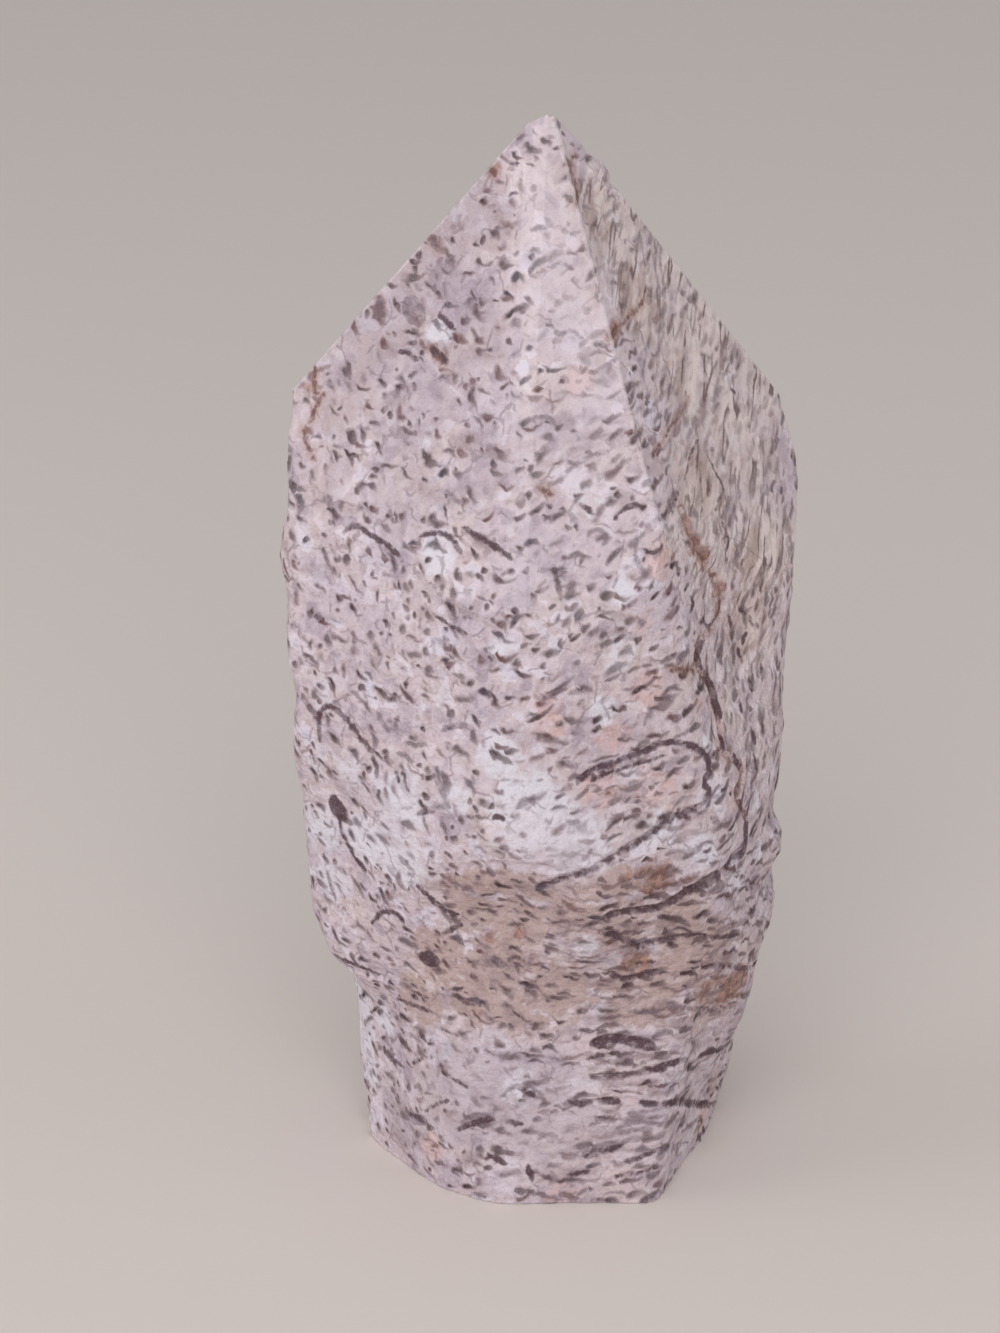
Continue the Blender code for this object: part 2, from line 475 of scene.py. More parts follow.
def seen_at(across, down):
    """The place on the stone at a pixel of the photo, or None beside the stone."""
    right = (across - PHOTO_WIDTH / 2.0) / FOCAL_PIXELS
    up = (PHOTO_HEIGHT / 2.0 - down) / FOCAL_PIXELS
    ray = (VIEW_AHEAD + right * VIEW_RIGHT + up * VIEW_UP).normalized()
    return finder.ray_cast(camera.location, ray)[0]


print("middle of the front:", [round(part / MM, 1) for part in seen_at(520, 600)])

# %% [markdown]
# ## Veins, cracks and large specks
#
# Darker minerals filled the cracks of this stone, and left hooks, curls, blots and dashes. Noise
# could make marks of the same kind, but not these ones in these places. So each of them is drawn one
# by one, as one does with a fine brush: half its width in millimetres, then a few pixels along it.
# The dark lines come first. They are maroon to nearly black, and look beaded.

# %% Dark lines
DARK_LINES = (
    # The large hook low on the right: out, round its bend and back
    (0.42, ((576, 785), (585, 775), (603, 766), (624, 759), (645, 751), (665, 743), (682, 743))),
    (0.20, ((590, 782), (606, 774), (628, 767), (650, 760), (668, 754))),
    (0.46, ((682, 743), (696, 748), (707, 758), (709, 771), (704, 783), (709, 791), (702, 806))),
    (0.52, ((702, 806), (692, 810), (678, 816), (663, 825), (649, 835), (632, 846), (618, 853))),
    (0.42, ((618, 853), (599, 866), (583, 873), (564, 879), (537, 887))),
    # The thick line under the hook
    (0.58, ((746, 818), (744, 851), (733, 857), (729, 866), (719, 874))),
    (0.95, ((722, 872), (712, 879), (704, 883), (697, 885))),
    (0.62, ((697, 885), (682, 895), (665, 905), (649, 909), (624, 912), (605, 917))),
    # The curl at the left edge, and the large comma below it
    (0.32, ((320, 742), (319, 723), (321, 710), (332, 707), (345, 718), (355, 731), (364, 744), (383, 761))),
    (1.35, ((333, 799), (338, 807), (344, 816))),
    (0.28, ((340, 817), (341, 829), (345, 838), (355, 857), (366, 870))),
    # Dashes, hooks and a blot around the waist
    (0.45, ((417, 814), (425, 812), (434, 812))),
    (0.38, ((396, 772), (399, 782))),
    (0.45, ((492, 819), (498, 817), (505, 820))),
    (0.35, ((417, 885), (432, 900), (447, 911), (458, 914))),
    (0.36, ((372, 923), (380, 914), (389, 912), (398, 915), (404, 924))),
    (0.40, ((443, 934), (452, 929), (462, 925))),
    (1.60, ((424, 958), (430, 959), (436, 961))),
    (0.28, ((508, 962), (515, 957), (524, 961))),
    # The comb of short strokes under the blot
    (0.30, ((398, 999), (415, 1006), (432, 1012))),
    (0.24, ((410, 990), (428, 998))),
    (0.26, ((446, 990), (464, 988))),
    (0.24, ((462, 1002), (480, 1006))),
    (0.20, ((458, 1012), (470, 1016))),
    (0.20, ((440, 1028), (458, 1036))),
    # The left half of the foot
    (0.36, ((384, 1045), (388, 1056), (404, 1067))),
    (0.30, ((412, 1064), (424, 1058))),
    (0.22, ((442, 1072), (468, 1088))),
    (0.45, ((410, 1114), (420, 1118), (428, 1124))),
    (0.24, ((424, 1112), (438, 1104), (450, 1100))),
    (0.42, ((458, 1130), (476, 1122), (494, 1119))),
    (0.46, ((520, 1089), (528, 1092), (536, 1098))),
    (0.46, ((506, 1122), (522, 1124))),
    (0.48, ((488, 1154), (506, 1164))),
    (0.58, ((528, 1166), (532, 1180))),
    # Level dashes on the right, from the waist down to the foot
    (0.48, ((600, 932), (622, 938), (641, 947), (650, 943), (679, 938))),
    (0.34, ((679, 938), (697, 935), (714, 938), (740, 934))),
    (0.42, ((703, 968), (722, 966), (756, 970))),
    (0.46, ((609, 972), (624, 979), (650, 973), (667, 970))),
    (0.75, ((592, 1043), (611, 1039), (632, 1041), (654, 1047))),
    (0.30, ((588, 1058), (600, 1055), (611, 1055))),
    (0.32, ((592, 1077), (615, 1078), (641, 1073), (662, 1067), (688, 1059))),
    (0.52, ((646, 1072), (662, 1067), (684, 1060))),
    (0.55, ((703, 1054), (714, 1051), (726, 1051))),
    (0.55, ((568, 1101), (580, 1103), (592, 1102))),
    (0.58, ((598, 1101), (610, 1101), (620, 1102))),
    (0.60, ((640, 1102), (648, 1104), (658, 1105))),
    (0.62, ((664, 1104), (680, 1102), (696, 1104), (713, 1104))),
    (0.42, ((600, 1152), (612, 1149), (624, 1144))),
    (0.28, ((594, 1151), (585, 1157))),
    (0.32, ((624, 1162), (639, 1158), (667, 1147), (688, 1143))),
    (0.34, ((566, 1175), (578, 1173), (590, 1171))),
    (0.26, ((615, 1177), (638, 1173), (662, 1167))),
    # Marks on the ground faces and on the body below them, and painted shadow under the left ledge
    (0.45, ((440, 316), (447, 322), (455, 329))),
    (0.36, ((399, 352), (410, 353))),
    (0.34, ((462, 526), (478, 536), (494, 546), (513, 559))),
    (0.34, ((344, 532), (355, 525), (369, 534), (385, 544), (400, 557))),
    (0.30, ((416, 541), (425, 535), (437, 533), (448, 536), (453, 541), (461, 553))),
    (0.26, ((434, 614), (448, 624), (462, 632))),
    (0.34, ((509, 164), (516, 163), (522, 166))),
    (0.30, ((527, 164), (533, 166))),
    (0.34, ((730, 388), (735, 393))),
    (0.36, ((580, 504), (588, 510), (594, 514))),
    (0.34, ((614, 520), (622, 510), (634, 505), (647, 507))),
    (0.34, ((554, 566), (558, 584), (561, 600))),
    # Painted shadow: a dark line under the overhang of the left ledge
    (0.34, ((324, 950), (340, 958), (358, 966), (376, 974), (394, 985))),
    (0.62, ((432, 347), (435, 352), (437, 357))),
    (0.50, ((441, 354), (445, 359), (446, 363))),
    # Thin lines inside one another on the right ground face, and short dashes below them
    (0.16, ((698, 440), (690, 456), (686, 474), (678, 494), (672, 516))),
    (0.18, ((706, 452), (714, 470), (721, 482), (723, 490), (719, 500), (715, 511))),
    (0.14, ((700, 470), (701, 490), (702, 505), (700, 520))),
    (0.18, ((724, 506), (722, 522), (728, 538), (726, 552))),
    (0.34, ((675, 499), (670, 508), (662, 516))),
    (0.40, ((700, 550), (703, 558), (707, 567))),
    (0.34, ((714, 620), (708, 627), (703, 619))),
    (0.50, ((705, 639), (700, 647), (696, 659))),
    (0.42, ((742, 561), (742, 568))),
    (0.42, ((739, 609), (745, 613))),
    (0.42, ((749, 617), (752, 625))),
    (0.48, ((729, 616), (731, 626))),
    (0.44, ((746, 633), (742, 643))),
    (0.54, ((738, 649), (740, 659))),
    (0.44, ((677, 565), (679, 575))),
    (0.38, ((690, 595), (693, 604), (690, 613))),
    # Filled pieces of the crack down the right side, and dashes beside it
    (0.50, ((695, 646), (698, 658), (702, 670))),
    (0.66, ((704, 672), (711, 686), (716, 702), (721, 718))),
    (0.50, ((718, 728), (722, 740), (724, 753))),
    (0.52, ((734, 755), (738, 763), (742, 772))),
    (0.36, ((741, 800), (745, 820), (747, 838))),
    (0.42, ((737, 648), (742, 662))),
    (0.42, ((748, 677), (752, 693))),
    (0.44, ((751, 727), (755, 744))),
    (0.34, ((754, 754), (757, 772))),
    (0.34, ((761, 664), (762, 680))),
    (0.34, ((740, 700), (742, 714))),
)
print("dark lines:", len(DARK_LINES))

# %% [markdown]
# Grey lines are fainter: the outlines of pale grains, and soft brownish blots.

# %% Grey lines
GREY_LINES = (
    # Blots on the left ground face
    (1.50, ((408, 301), (414, 311), (420, 322))),
    (0.95, ((379, 298), (380, 309), (382, 321))),
    (0.85, ((430, 236), (437, 243), (444, 250))),
    # Upright lines on the right ground face
    (0.24, ((650, 232), (656, 250), (655, 270), (660, 290))),
    (0.20, ((640, 330), (646, 352), (643, 374), (650, 398))),
    (0.20, ((664, 330), (662, 352), (670, 376), (668, 400))),
    (0.20, ((740, 470), (738, 494), (744, 520), (741, 548))),
    # Blots on the body and on the foot
    (0.60, ((448, 600), (456, 606))),
    (0.55, ((330, 566), (336, 574))),
    (0.60, ((421, 668), (430, 676))),
    (0.60, ((486, 866), (494, 876))),
    (0.70, ((345, 1058), (352, 1064))),
    (1.00, ((402, 1116), (412, 1117), (424, 1122))),
    (0.85, ((462, 1126), (478, 1119), (492, 1118))),
    (0.95, ((584, 1155), (600, 1149), (618, 1146))),
    # Outlines, arcs and thin dashes
    (0.30, ((677, 502), (666, 514), (652, 528), (638, 540), (636, 557), (645, 574), (652, 580), (650, 590))),
    (0.30, ((678, 694), (657, 706), (648, 716), (645, 725))),
    (0.30, ((347, 695), (355, 693), (366, 706))),
    (0.36, ((377, 712), (385, 727), (394, 730), (398, 716))),
    (0.36, ((396, 752), (406, 757), (415, 763))),
    (0.40, ((441, 731), (452, 727), (462, 725), (475, 730))),
    (0.40, ((434, 774), (442, 790), (449, 808))),
    (0.34, ((447, 870), (449, 879), (453, 883), (473, 891))),
    (0.62, ((476, 962), (490, 963), (506, 965))),
    # Painted shadow under the left ledge, in grey
    (0.28, ((322, 954), (346, 968), (368, 974), (390, 980))),
    (0.26, ((661, 246), (660, 262), (663, 279), (662, 295))),
    (0.34, ((446, 491), (460, 503))),
    (0.34, ((457, 607), (471, 618))),
    (0.32, ((566, 472), (578, 463), (592, 456), (611, 450))),
    (0.30, ((609, 472), (620, 466), (630, 458))),
    (0.28, ((587, 540), (590, 532), (599, 530), (606, 537), (603, 546))),
    (0.32, ((534, 593), (549, 587))),
    (0.28, ((558, 588), (568, 586))),
    (0.30, ((484, 648), (494, 658))),
    (0.28, ((602, 629), (602, 648))),
    (0.30, ((526, 424), (540, 417), (552, 420), (557, 431))),
    (0.28, ((548, 268), (562, 263), (572, 270))),
    (0.28, ((556, 338), (570, 331), (583, 338))),
    (0.26, ((530, 231), (541, 227), (549, 233))),
    (0.34, ((392, 1042), (402, 1034), (414, 1036), (424, 1047), (420, 1058))),
    (0.32, ((500, 1098), (512, 1088), (528, 1086), (540, 1094), (546, 1106))),
    (0.30, ((560, 920), (582, 926), (604, 931))),
    (0.30, ((626, 1010), (648, 1012), (676, 1007), (700, 1010))),
    (0.30, ((616, 1128), (640, 1122), (664, 1124), (690, 1116))),
)
print("grey lines:", len(GREY_LINES))

# %% [markdown]
# Rusty lines are brown to orange, where water got into a crack. Some lie over a grey blot and turn
# it brown.

# %% Rusty lines
RUSTY_LINES = (
    # The crack down the right side
    (0.22, ((677, 502), (682, 512), (685, 521), (686, 530), (693, 540))),
    (0.40, ((696, 546), (701, 554), (704, 562), (709, 571))),
    (0.34, ((709, 571), (716, 578), (720, 588), (719, 600), (718, 612), (712, 629), (700, 641))),
    (0.40, ((684, 520), (686, 528))),
    (0.42, ((700, 641), (696, 655), (700, 672), (710, 686), (713, 702), (718, 717), (721, 740), (719, 752))),
    (0.36, ((719, 752), (738, 764), (743, 779), (736, 793), (748, 822))),
    (0.30, ((669, 671), (682, 669), (695, 670))),
    # Over blots on the left ground face
    (0.70, ((379, 299), (380, 309), (381, 320))),
    (0.60, ((432, 347), (438, 354), (443, 363))),
    (0.55, ((430, 236), (436, 243), (442, 250))),
    (0.42, ((416, 318), (420, 326))),
    # At the corner on the left, on the ridges, and curls on the right ground face
    (0.34, ((314, 360), (315, 378), (314, 390), (320, 394))),
    (0.30, ((322, 396), (314, 412), (306, 428), (306, 442), (314, 458))),
    (0.34, ((575, 153), (570, 167), (576, 183), (577, 207))),
    (0.45, ((539, 488), (546, 491), (553, 495))),
    (0.55, ((489, 163), (492, 170), (496, 176))),
    (0.60, ((608, 340), (614, 332), (622, 324))),
    (0.34, ((622, 324), (631, 315), (640, 306), (644, 296))),
    (0.24, ((655, 452), (664, 438), (670, 428), (681, 414), (689, 396))),
)
print("rusty lines:", len(RUSTY_LINES))

# %% [markdown]
# ## Grooves and bites
#
# Some of these lines are open cracks or little ledges as well, and colour alone wouldn't catch the
# light. They get a groove: half its width, its depth, then pixels along it. The ridges of the ground
# tip have lost small chips too. A bite is a pixel, a radius and a depth, in millimetres. The first
# one has a depth below zero, because it is a small bulge, just above the notch beside the tip.

# %% Grooves and bites
GROOVES = (
    (0.8, 0.38, ((702, 806), (692, 810), (678, 816), (663, 825), (649, 835), (632, 846), (618, 853))),
    (0.8, 0.34, ((618, 853), (599, 866), (583, 873), (564, 879), (537, 887))),
    (0.7, 0.26, ((585, 775), (603, 766), (624, 759), (645, 751), (665, 743), (682, 743))),
    (0.9, 0.42, ((744, 851), (733, 857), (729, 866), (719, 874), (705, 883), (692, 887))),
    (0.8, 0.36, ((692, 887), (682, 895), (665, 905), (649, 909), (624, 912), (605, 917))),
    (0.7, 0.45, ((677, 502), (700, 552), (710, 571), (722, 590), (722, 614), (712, 629), (700, 641))),
    (0.7, 0.45, ((700, 641), (696, 655), (700, 672), (710, 686), (713, 702), (718, 717), (721, 740))),
    (0.6, 0.35, ((719, 752), (738, 764), (743, 779), (736, 793), (748, 822))),
    (0.8, 0.50, ((318, 952), (330, 960), (346, 968), (368, 974), (390, 980))),
    (0.8, 0.30, ((446, 872), (486, 865), (527, 867), (564, 872))),
    (0.7, 0.34, ((600, 932), (622, 938), (641, 947), (650, 943), (679, 938), (714, 938))),
    (0.7, 0.34, ((703, 968), (722, 966), (756, 970))),
    (0.7, 0.30, ((609, 972), (624, 979), (650, 973), (667, 970))),
    (0.8, 0.36, ((592, 1043), (611, 1039), (632, 1041), (654, 1047))),
    (0.7, 0.30, ((592, 1077), (615, 1078), (641, 1073), (662, 1067), (688, 1059))),
    (0.6, 0.28, ((571, 1100), (590, 1102), (622, 1100), (639, 1102), (662, 1105), (711, 1104))),
    (0.6, 0.26, ((615, 1177), (638, 1173), (662, 1167))),
    (0.6, 0.26, ((624, 1162), (639, 1158), (667, 1147), (688, 1143))),
    (0.6, 0.22, ((347, 697), (355, 731), (364, 744), (383, 761))),
)
BITES = (
    (599, 174, 2.8, -0.95),
    (612, 188, 1.6, 1.10),
    (640, 216, 1.0, 0.22),
    (664, 248, 1.2, 0.30),
    (712, 308, 1.0, 0.22),
    (752, 358, 1.3, 0.28),
    (783, 397, 1.6, 0.35),
    (484, 169, 1.1, 0.25),
    (428, 232, 1.0, 0.22),
    (386, 279, 1.3, 0.30),
    (342, 326, 1.1, 0.22),
    (302, 378, 1.6, 0.40),
    (578, 186, 0.9, 0.20),
    (594, 290, 0.8, 0.16),
    (634, 442, 1.2, 0.24),
    (650, 510, 1.4, 0.30),
    (532, 118, 0.9, 0.25),
    (561, 121, 0.8, 0.25),
)
print("grooves:", len(GROOVES), "bites:", len(BITES))

# %% [markdown]
# ## Laying the lines on the stone
#
# Straight runs between the pixels would show as kinks, so a smooth curve is led through them. Its
# formula is the Catmull-Rom spline, which passes through every point that it is given.

# %% A smooth curve through pixels
LINE_STEP_PIXELS = 2.0


def curve_through(pixels):
    """Points along a smooth curve through the given pixels, a short step apart."""
    knots = [pixels[0], *pixels, pixels[-1]]
    path = []
    for a, b, c, d in zip(knots, knots[1:], knots[2:], knots[3:]):
        steps = max(1, round(sqrt((c[0] - b[0]) ** 2 + (c[1] - b[1]) ** 2) / LINE_STEP_PIXELS))
        for step in range(steps):
            t = step / steps
            weights = (
                (-t + 2 * t**2 - t**3) / 2,
                (2 - 5 * t**2 + 3 * t**3) / 2,
                (t + 4 * t**2 - 3 * t**3) / 2,
                (t**3 - t**2) / 2,
            )
            path.append([sum(w * p[axis] for w, p in zip(weights, (a, b, c, d))) for axis in (0, 1)])
    path.append(pixels[-1])
    return path


first_curve = curve_through(DARK_LINES[0][1])
print("the first line:", len(DARK_LINES[0][1]), "pixels, led through", len(first_curve))

# %% [markdown]
# Each point of the curve is then found on the stone. Both ends of a line get thinner, as the ends of
# a real vein do.

# %% Lay the lines on the stone
TAPER_PIXELS = 9.0
TAPER_POWER = 0.7
LEAST_WIDTH = 0.35


def laid(drawn_lines):
    """All lines as places on the stone, each with half the line's width there."""
    places = []
    for half_width, pixels in drawn_lines:
        path = curve_through(pixels)
        for number, (across, down) in enumerate(path):
            place = seen_at(across, down)
            to_end = LINE_STEP_PIXELS * min(number, len(path) - 1 - number)
            fullness = min(1.0, to_end / TAPER_PIXELS) ** TAPER_POWER
            thin = LEAST_WIDTH + (1.0 - LEAST_WIDTH) * fullness
            if place:
                places.append((place, half_width * MM * thin))
    return places


lines = {"dark": laid(DARK_LINES), "grey": laid(GREY_LINES), "rusty": laid(RUSTY_LINES)}
grooves = [(depth * MM, laid([(half_width, pixels)])) for half_width, depth, pixels in GROOVES]
print("places along the lines:", {name: len(places) for name, places in lines.items()})

# %% [markdown]
# ## A finer skin where it is needed
#
# Colours painted on points can't be finer than the points. Near the lines the skin is therefore
# divided once more, so that a vein of half a millimetre still comes out clean, and the rest stays
# light. A tree of places finds the points near a line without looking at all of them.

# %% Divide the skin near the lines
LINE_MARGIN = 0.30 * MM


def tree_of(places):
    """A tree that quickly finds which of the places are near a given one."""
    grown = kdtree.KDTree(len(places))
    for number, place in enumerate(places):
        grown.insert(place, number)
    grown.balance()
    return grown


tree = tree_of([vertex.co for vertex in work.verts])
work.verts.ensure_lookup_table()
near_lines = set()
bites = [(seen_at(across, down), radius * MM, depth * MM) for across, down, radius, depth in BITES]
bites = [bite for bite in bites if bite[0]]
circles = [circle for places in lines.values() for circle in places]
circles += [circle for depth, places in grooves for circle in places]
circles += [(place, radius) for place, radius, depth in bites]
for place, radius in circles:
    for _, number, _ in tree.find_range(place, radius + LINE_MARGIN):
        near_lines.add(work.verts[number])
fine_edges = {edge for vertex in near_lines for edge in vertex.link_edges}
bmesh.ops.subdivide_edges(work, edges=list(fine_edges), cuts=1, use_grid_fill=True)
bmesh.ops.recalc_face_normals(work, faces=work.faces[:])
print("points near lines:", len(near_lines))

# %% [markdown]
# Now the grooves are pressed in and the bites taken out. Each point near one gets a wish for how deep
# it goes, deepest in the middle, and only its largest wish counts: where two grooves cross, they
# don't add up to a hole. A groove goes straight in. All of a bite goes one way, like a chip.

# %% Press the grooves in and take the bites out
UNEVENNESS = 0.6
UNEVENNESS_SIZE = 1.2 * MM

work.verts.ensure_lookup_table()
tree = tree_of([vertex.co for vertex in work.verts])
sinking = {}


def sink(number, depth, share):
    """Note how deep a point goes in, at a share of the way from the middle to the rim."""
    uneven = 1.0 + UNEVENNESS * noise.noise(work.verts[number].co / UNEVENNESS_SIZE)
    wish = depth * max(0.0, 1.0 - share**2) * uneven
    sinking[number] = max(sinking.get(number, 0.0), wish, key=abs)


for depth, places in grooves:
    for place, half_width in places:
        for _, number, distance in tree.find_range(place, half_width):
            sink(number, depth, distance / half_width)
inward = {number: -work.verts[number].normal for number in sinking}
for place, radius, depth in bites:
    found = tree.find_range(place, radius)
    middle = sum((work.verts[number].normal for _, number, _ in found), Vector()).normalized()
    for _, number, distance in found:
        sink(number, depth, distance / radius)
        inward[number] = -middle
for number, depth in sinking.items():
    work.verts[number].co += inward[number] * depth
stone.data.clear_geometry()
work.to_mesh(stone.data)
work.free()
print("stone:", len(stone.data.vertices), "points,", len(stone.data.polygons), "faces")

# %% [markdown]
# ## Values kept at the points
#
# The shape is finished. What follows only says where things are, for the material to read: an
# attribute is a value kept at each point, and Blender blends it over the faces between them. First
# come two marks, 1 on the ground faces and 1 on their sharp ridges, and 0 elsewhere.

# %% Mark the ground faces and their ridges
GROUND_TOLERANCE = 0.02 * MM
RIDGE_TOLERANCE = 0.005 * MM
FAR_AWAY = 1.0

skin = stone.data
points = np.zeros(len(skin.vertices) * 3)
skin.vertices.foreach_get("co", points)
points = points.reshape(-1, 3)


def keep(name, values):
    """Store one value or one vector at each point, for the material to read."""
    kind = "FLOAT_VECTOR" if values.ndim == 2 else "FLOAT"
    kept_values = skin.attributes.new(name, kind, "POINT").data
    kept_values.foreach_set("vector" if values.ndim == 2 else "value", values.astype(np.float32).ravel())


ground_depth = np.full(len(points), FAR_AWAY)
for direction, distance in ground + worn:
    ground_depth = np.minimum(ground_depth, distance - points @ np.array(direction))
is_ground = (ground_depth < GROUND_TOLERANCE).astype(float)
keep("ground", is_ground)
on_ridge = np.zeros(len(points))
for (first, _), (direction, distance) in zip(ground, worn):
    if first.angle(direction) > SHARP_TURN:
        on_ridge[np.abs(distance - points @ np.array(direction)) < RIDGE_TOLERANCE] = 1.0
keep("ridge", on_ridge)
print("ground points:", int(is_ground.sum()), "of them on ridges:", int(on_ridge.sum()))

# %% [markdown]
# For the lines, each point keeps how far it is from the nearest dark, grey and rusty line, in
# millimetres, and less than 0 inside it. A distance is better than a plain yes or no: the material
# can cut it off at any width, give the line soft edges, and let noise gnaw at them.

# %% Keep the distance to the nearest line of each kind
FAR_FROM_LINES = 2.0

tree = tree_of(points)
distances = np.full((len(points), 3), FAR_FROM_LINES)
for axis, name in enumerate(("dark", "grey", "rusty")):
    for place, half_width in lines[name]:
        for _, number, distance in tree.find_range(place, FAR_FROM_LINES * MM):
            outside = (distance - half_width) / MM
            distances[number, axis] = min(distances[number, axis], outside)
keep("lines", distances)
print("points inside a line:", int((distances.min(1) < 0.0).sum()))

# %% [markdown]
# ## Which way the specks lie
#
# The specks aren't scattered at random: on the left they slant one way, near the middle the other.
# Low on the right they run in long level streaks, and above, on the right ground face, in steep
# ones. Noise alone can't know that. So some places on the stone say which way specks lie there, and
# how stretched they are: a pixel, the angle from level in the photo, in degrees, and the stretch.
# Where the photo doesn't reach, the place is given as x, y and z in millimetres, and the angle is
# in the skin itself.

# %% Places that give a direction
LIE_SPOTS = (
    (350, 400, -50, 1.0),
    (400, 330, -40, 1.0),
    (460, 250, -35, 1.0),
    (450, 420, -45, 1.0),
    (360, 520, -50, 1.0),
    (350, 620, -62, 1.1),
    (450, 600, -48, 1.0),
    (350, 760, -62, 1.1),
    (450, 720, -42, 1.0),
    (345, 880, -60, 1.1),
    (430, 840, -40, 1.0),
    (530, 200, -20, 0.9),
    (560, 300, 5, 1.0),
    (580, 420, 20, 1.2),
    (560, 540, 25, 1.0),
    (560, 640, 28, 1.0),
    (640, 560, 25, 1.1),
    (640, 660, 5, 1.5),
    (560, 760, 12, 1.3),
    (640, 800, 20, 1.5),
    (480, 930, -30, 1.0),
    (560, 930, -5, 1.3),
    (440, 1010, -28, 1.0),
    (500, 1090, -15, 1.1),
    (400, 1090, -35, 1.0),
    (640, 930, -4, 2.0),
    (720, 950, -2, 2.4),
    (630, 1040, 0, 2.2),
    (700, 1010, -2, 2.4),
    (640, 1100, 2, 2.2),
    (640, 1160, 10, 2.0),
    (705, 1090, 0, 3.4),
    (697, 1140, 0, 3.2),
    (745, 960, 0, 3.0),
    (560, 1170, 5, 1.4),
    (610, 220, 60, 1.3),
    (660, 300, 68, 1.9),
    (720, 380, 66, 2.0),
    (700, 470, 72, 2.2),
    (760, 480, 76, 2.2),
    (745, 560, 80, 1.9),
    (735, 640, 88, 1.4),
    (750, 740, 86, 1.7),
)
BACK_LIES = (
    (-33, 8, 110, 60, 1.3),
    (-35, 8, 70, 70, 1.2),
    (-28, 8, 20, 45, 1.2),
    (-15, 30, 100, 40, 1.0),
    (0, 33, 60, 55, 1.1),
    (15, 32, 100, -40, 1.2),
    (20, 28, 40, 5, 1.8),
    (-10, 26, 20, 20, 1.4),
    (33, 12, 60, 80, 1.6),
    (24, 8, 20, 3, 2.0),
)
print("places that give a direction:", len(LIE_SPOTS) + len(BACK_LIES))

# %% [markdown]
# To turn a direction in the skin, every point needs two directions of its own that lie in it: one
# level, one rising. They come from the way that the point faces. The rough little chips face all
# ways, so the facing is first blended with that of the neighbours, many times over.

# %% Level and rising at every point
FACING_ROUNDS = 24
OWN_SHARE = 0.4
NOT_ZERO = 1e-6

edge_ends = np.zeros(len(skin.edges) * 2, int)
skin.edges.foreach_get("vertices", edge_ends)
one_end, other_end = edge_ends.reshape(-1, 2).T
neighbours = np.bincount(one_end, minlength=len(points)) + np.bincount(other_end, minlength=len(points))


def softened(values, times):
    """Each point's value blended again and again with those of its neighbours."""
    for _ in range(times):
        mixed = np.empty_like(values)
        for axis in range(values.shape[1]):
            total = np.bincount(one_end, values[other_end, axis], len(points))
            total += np.bincount(other_end, values[one_end, axis], len(points))
            mixed[:, axis] = OWN_SHARE * values[:, axis] + (1.0 - OWN_SHARE) * total / neighbours
        values = mixed
    return values


facing = np.zeros(len(points) * 3)
skin.vertices.foreach_get("normal", facing)
facing = softened(facing.reshape(-1, 3), FACING_ROUNDS)
facing /= np.linalg.norm(facing, axis=1)[:, None]
level = np.cross(UPWARD, facing)
level[:, 0] += NOT_ZERO
level /= np.linalg.norm(level, axis=1)[:, None]
rising = np.cross(facing, level)
print("facing blended", FACING_ROUNDS, "times at", len(facing), "points")

# %% [markdown]
# Every point then takes a blend of the places around it, the near ones counting most. Directions
# can't be averaged as angles: 10 and 170 degrees nearly agree, as a speck has no front and back, and
# their average is 90. With the angles doubled, their cosines and sines can be averaged.

# %% Which way the specks lie at every point
LIE_REACH = 7.0 * MM


def turn_in_skin(number, angle):
    """The angle, in the skin at one point, of a line that has the given angle in the photo."""
    line = cos(angle) * VIEW_RIGHT + sin(angle) * VIEW_UP
    normal = Vector(facing[number])
    line -= VIEW_AHEAD * (line.dot(normal) / VIEW_AHEAD.dot(normal))
    return atan2(line.dot(Vector(rising[number])), line.dot(Vector(level[number])))


spots = []
for across, down, angle, stretch in LIE_SPOTS:
    place = seen_at(across, down)
    number = tree.find(place)[1]
    spots.append((np.array(place), turn_in_skin(number, radians(angle)), stretch))
for x, y, z, angle, stretch in BACK_LIES:
    spots.append((np.array((x, y, z)) * MM, radians(angle), stretch))

sums = np.zeros((len(points), 4))
for place, turn, stretch in spots:
    near = 1.0 / (((points - place) ** 2).sum(1) + LIE_REACH**2) ** 2
    sums += near[:, None] * np.array((cos(2 * turn), sin(2 * turn), stretch, 1.0))
turns = np.arctan2(sums[:, 1], sums[:, 0]) / 2.0
stretches = sums[:, 2] / sums[:, 3]
lie = np.cos(turns)[:, None] * level + np.sin(turns)[:, None] * rising
keep("facing", facing)
keep("lie", lie)
keep("stretch", stretches)
print("stretch of the specks:", round(stretches.min(), 2), "to", round(stretches.max(), 2))
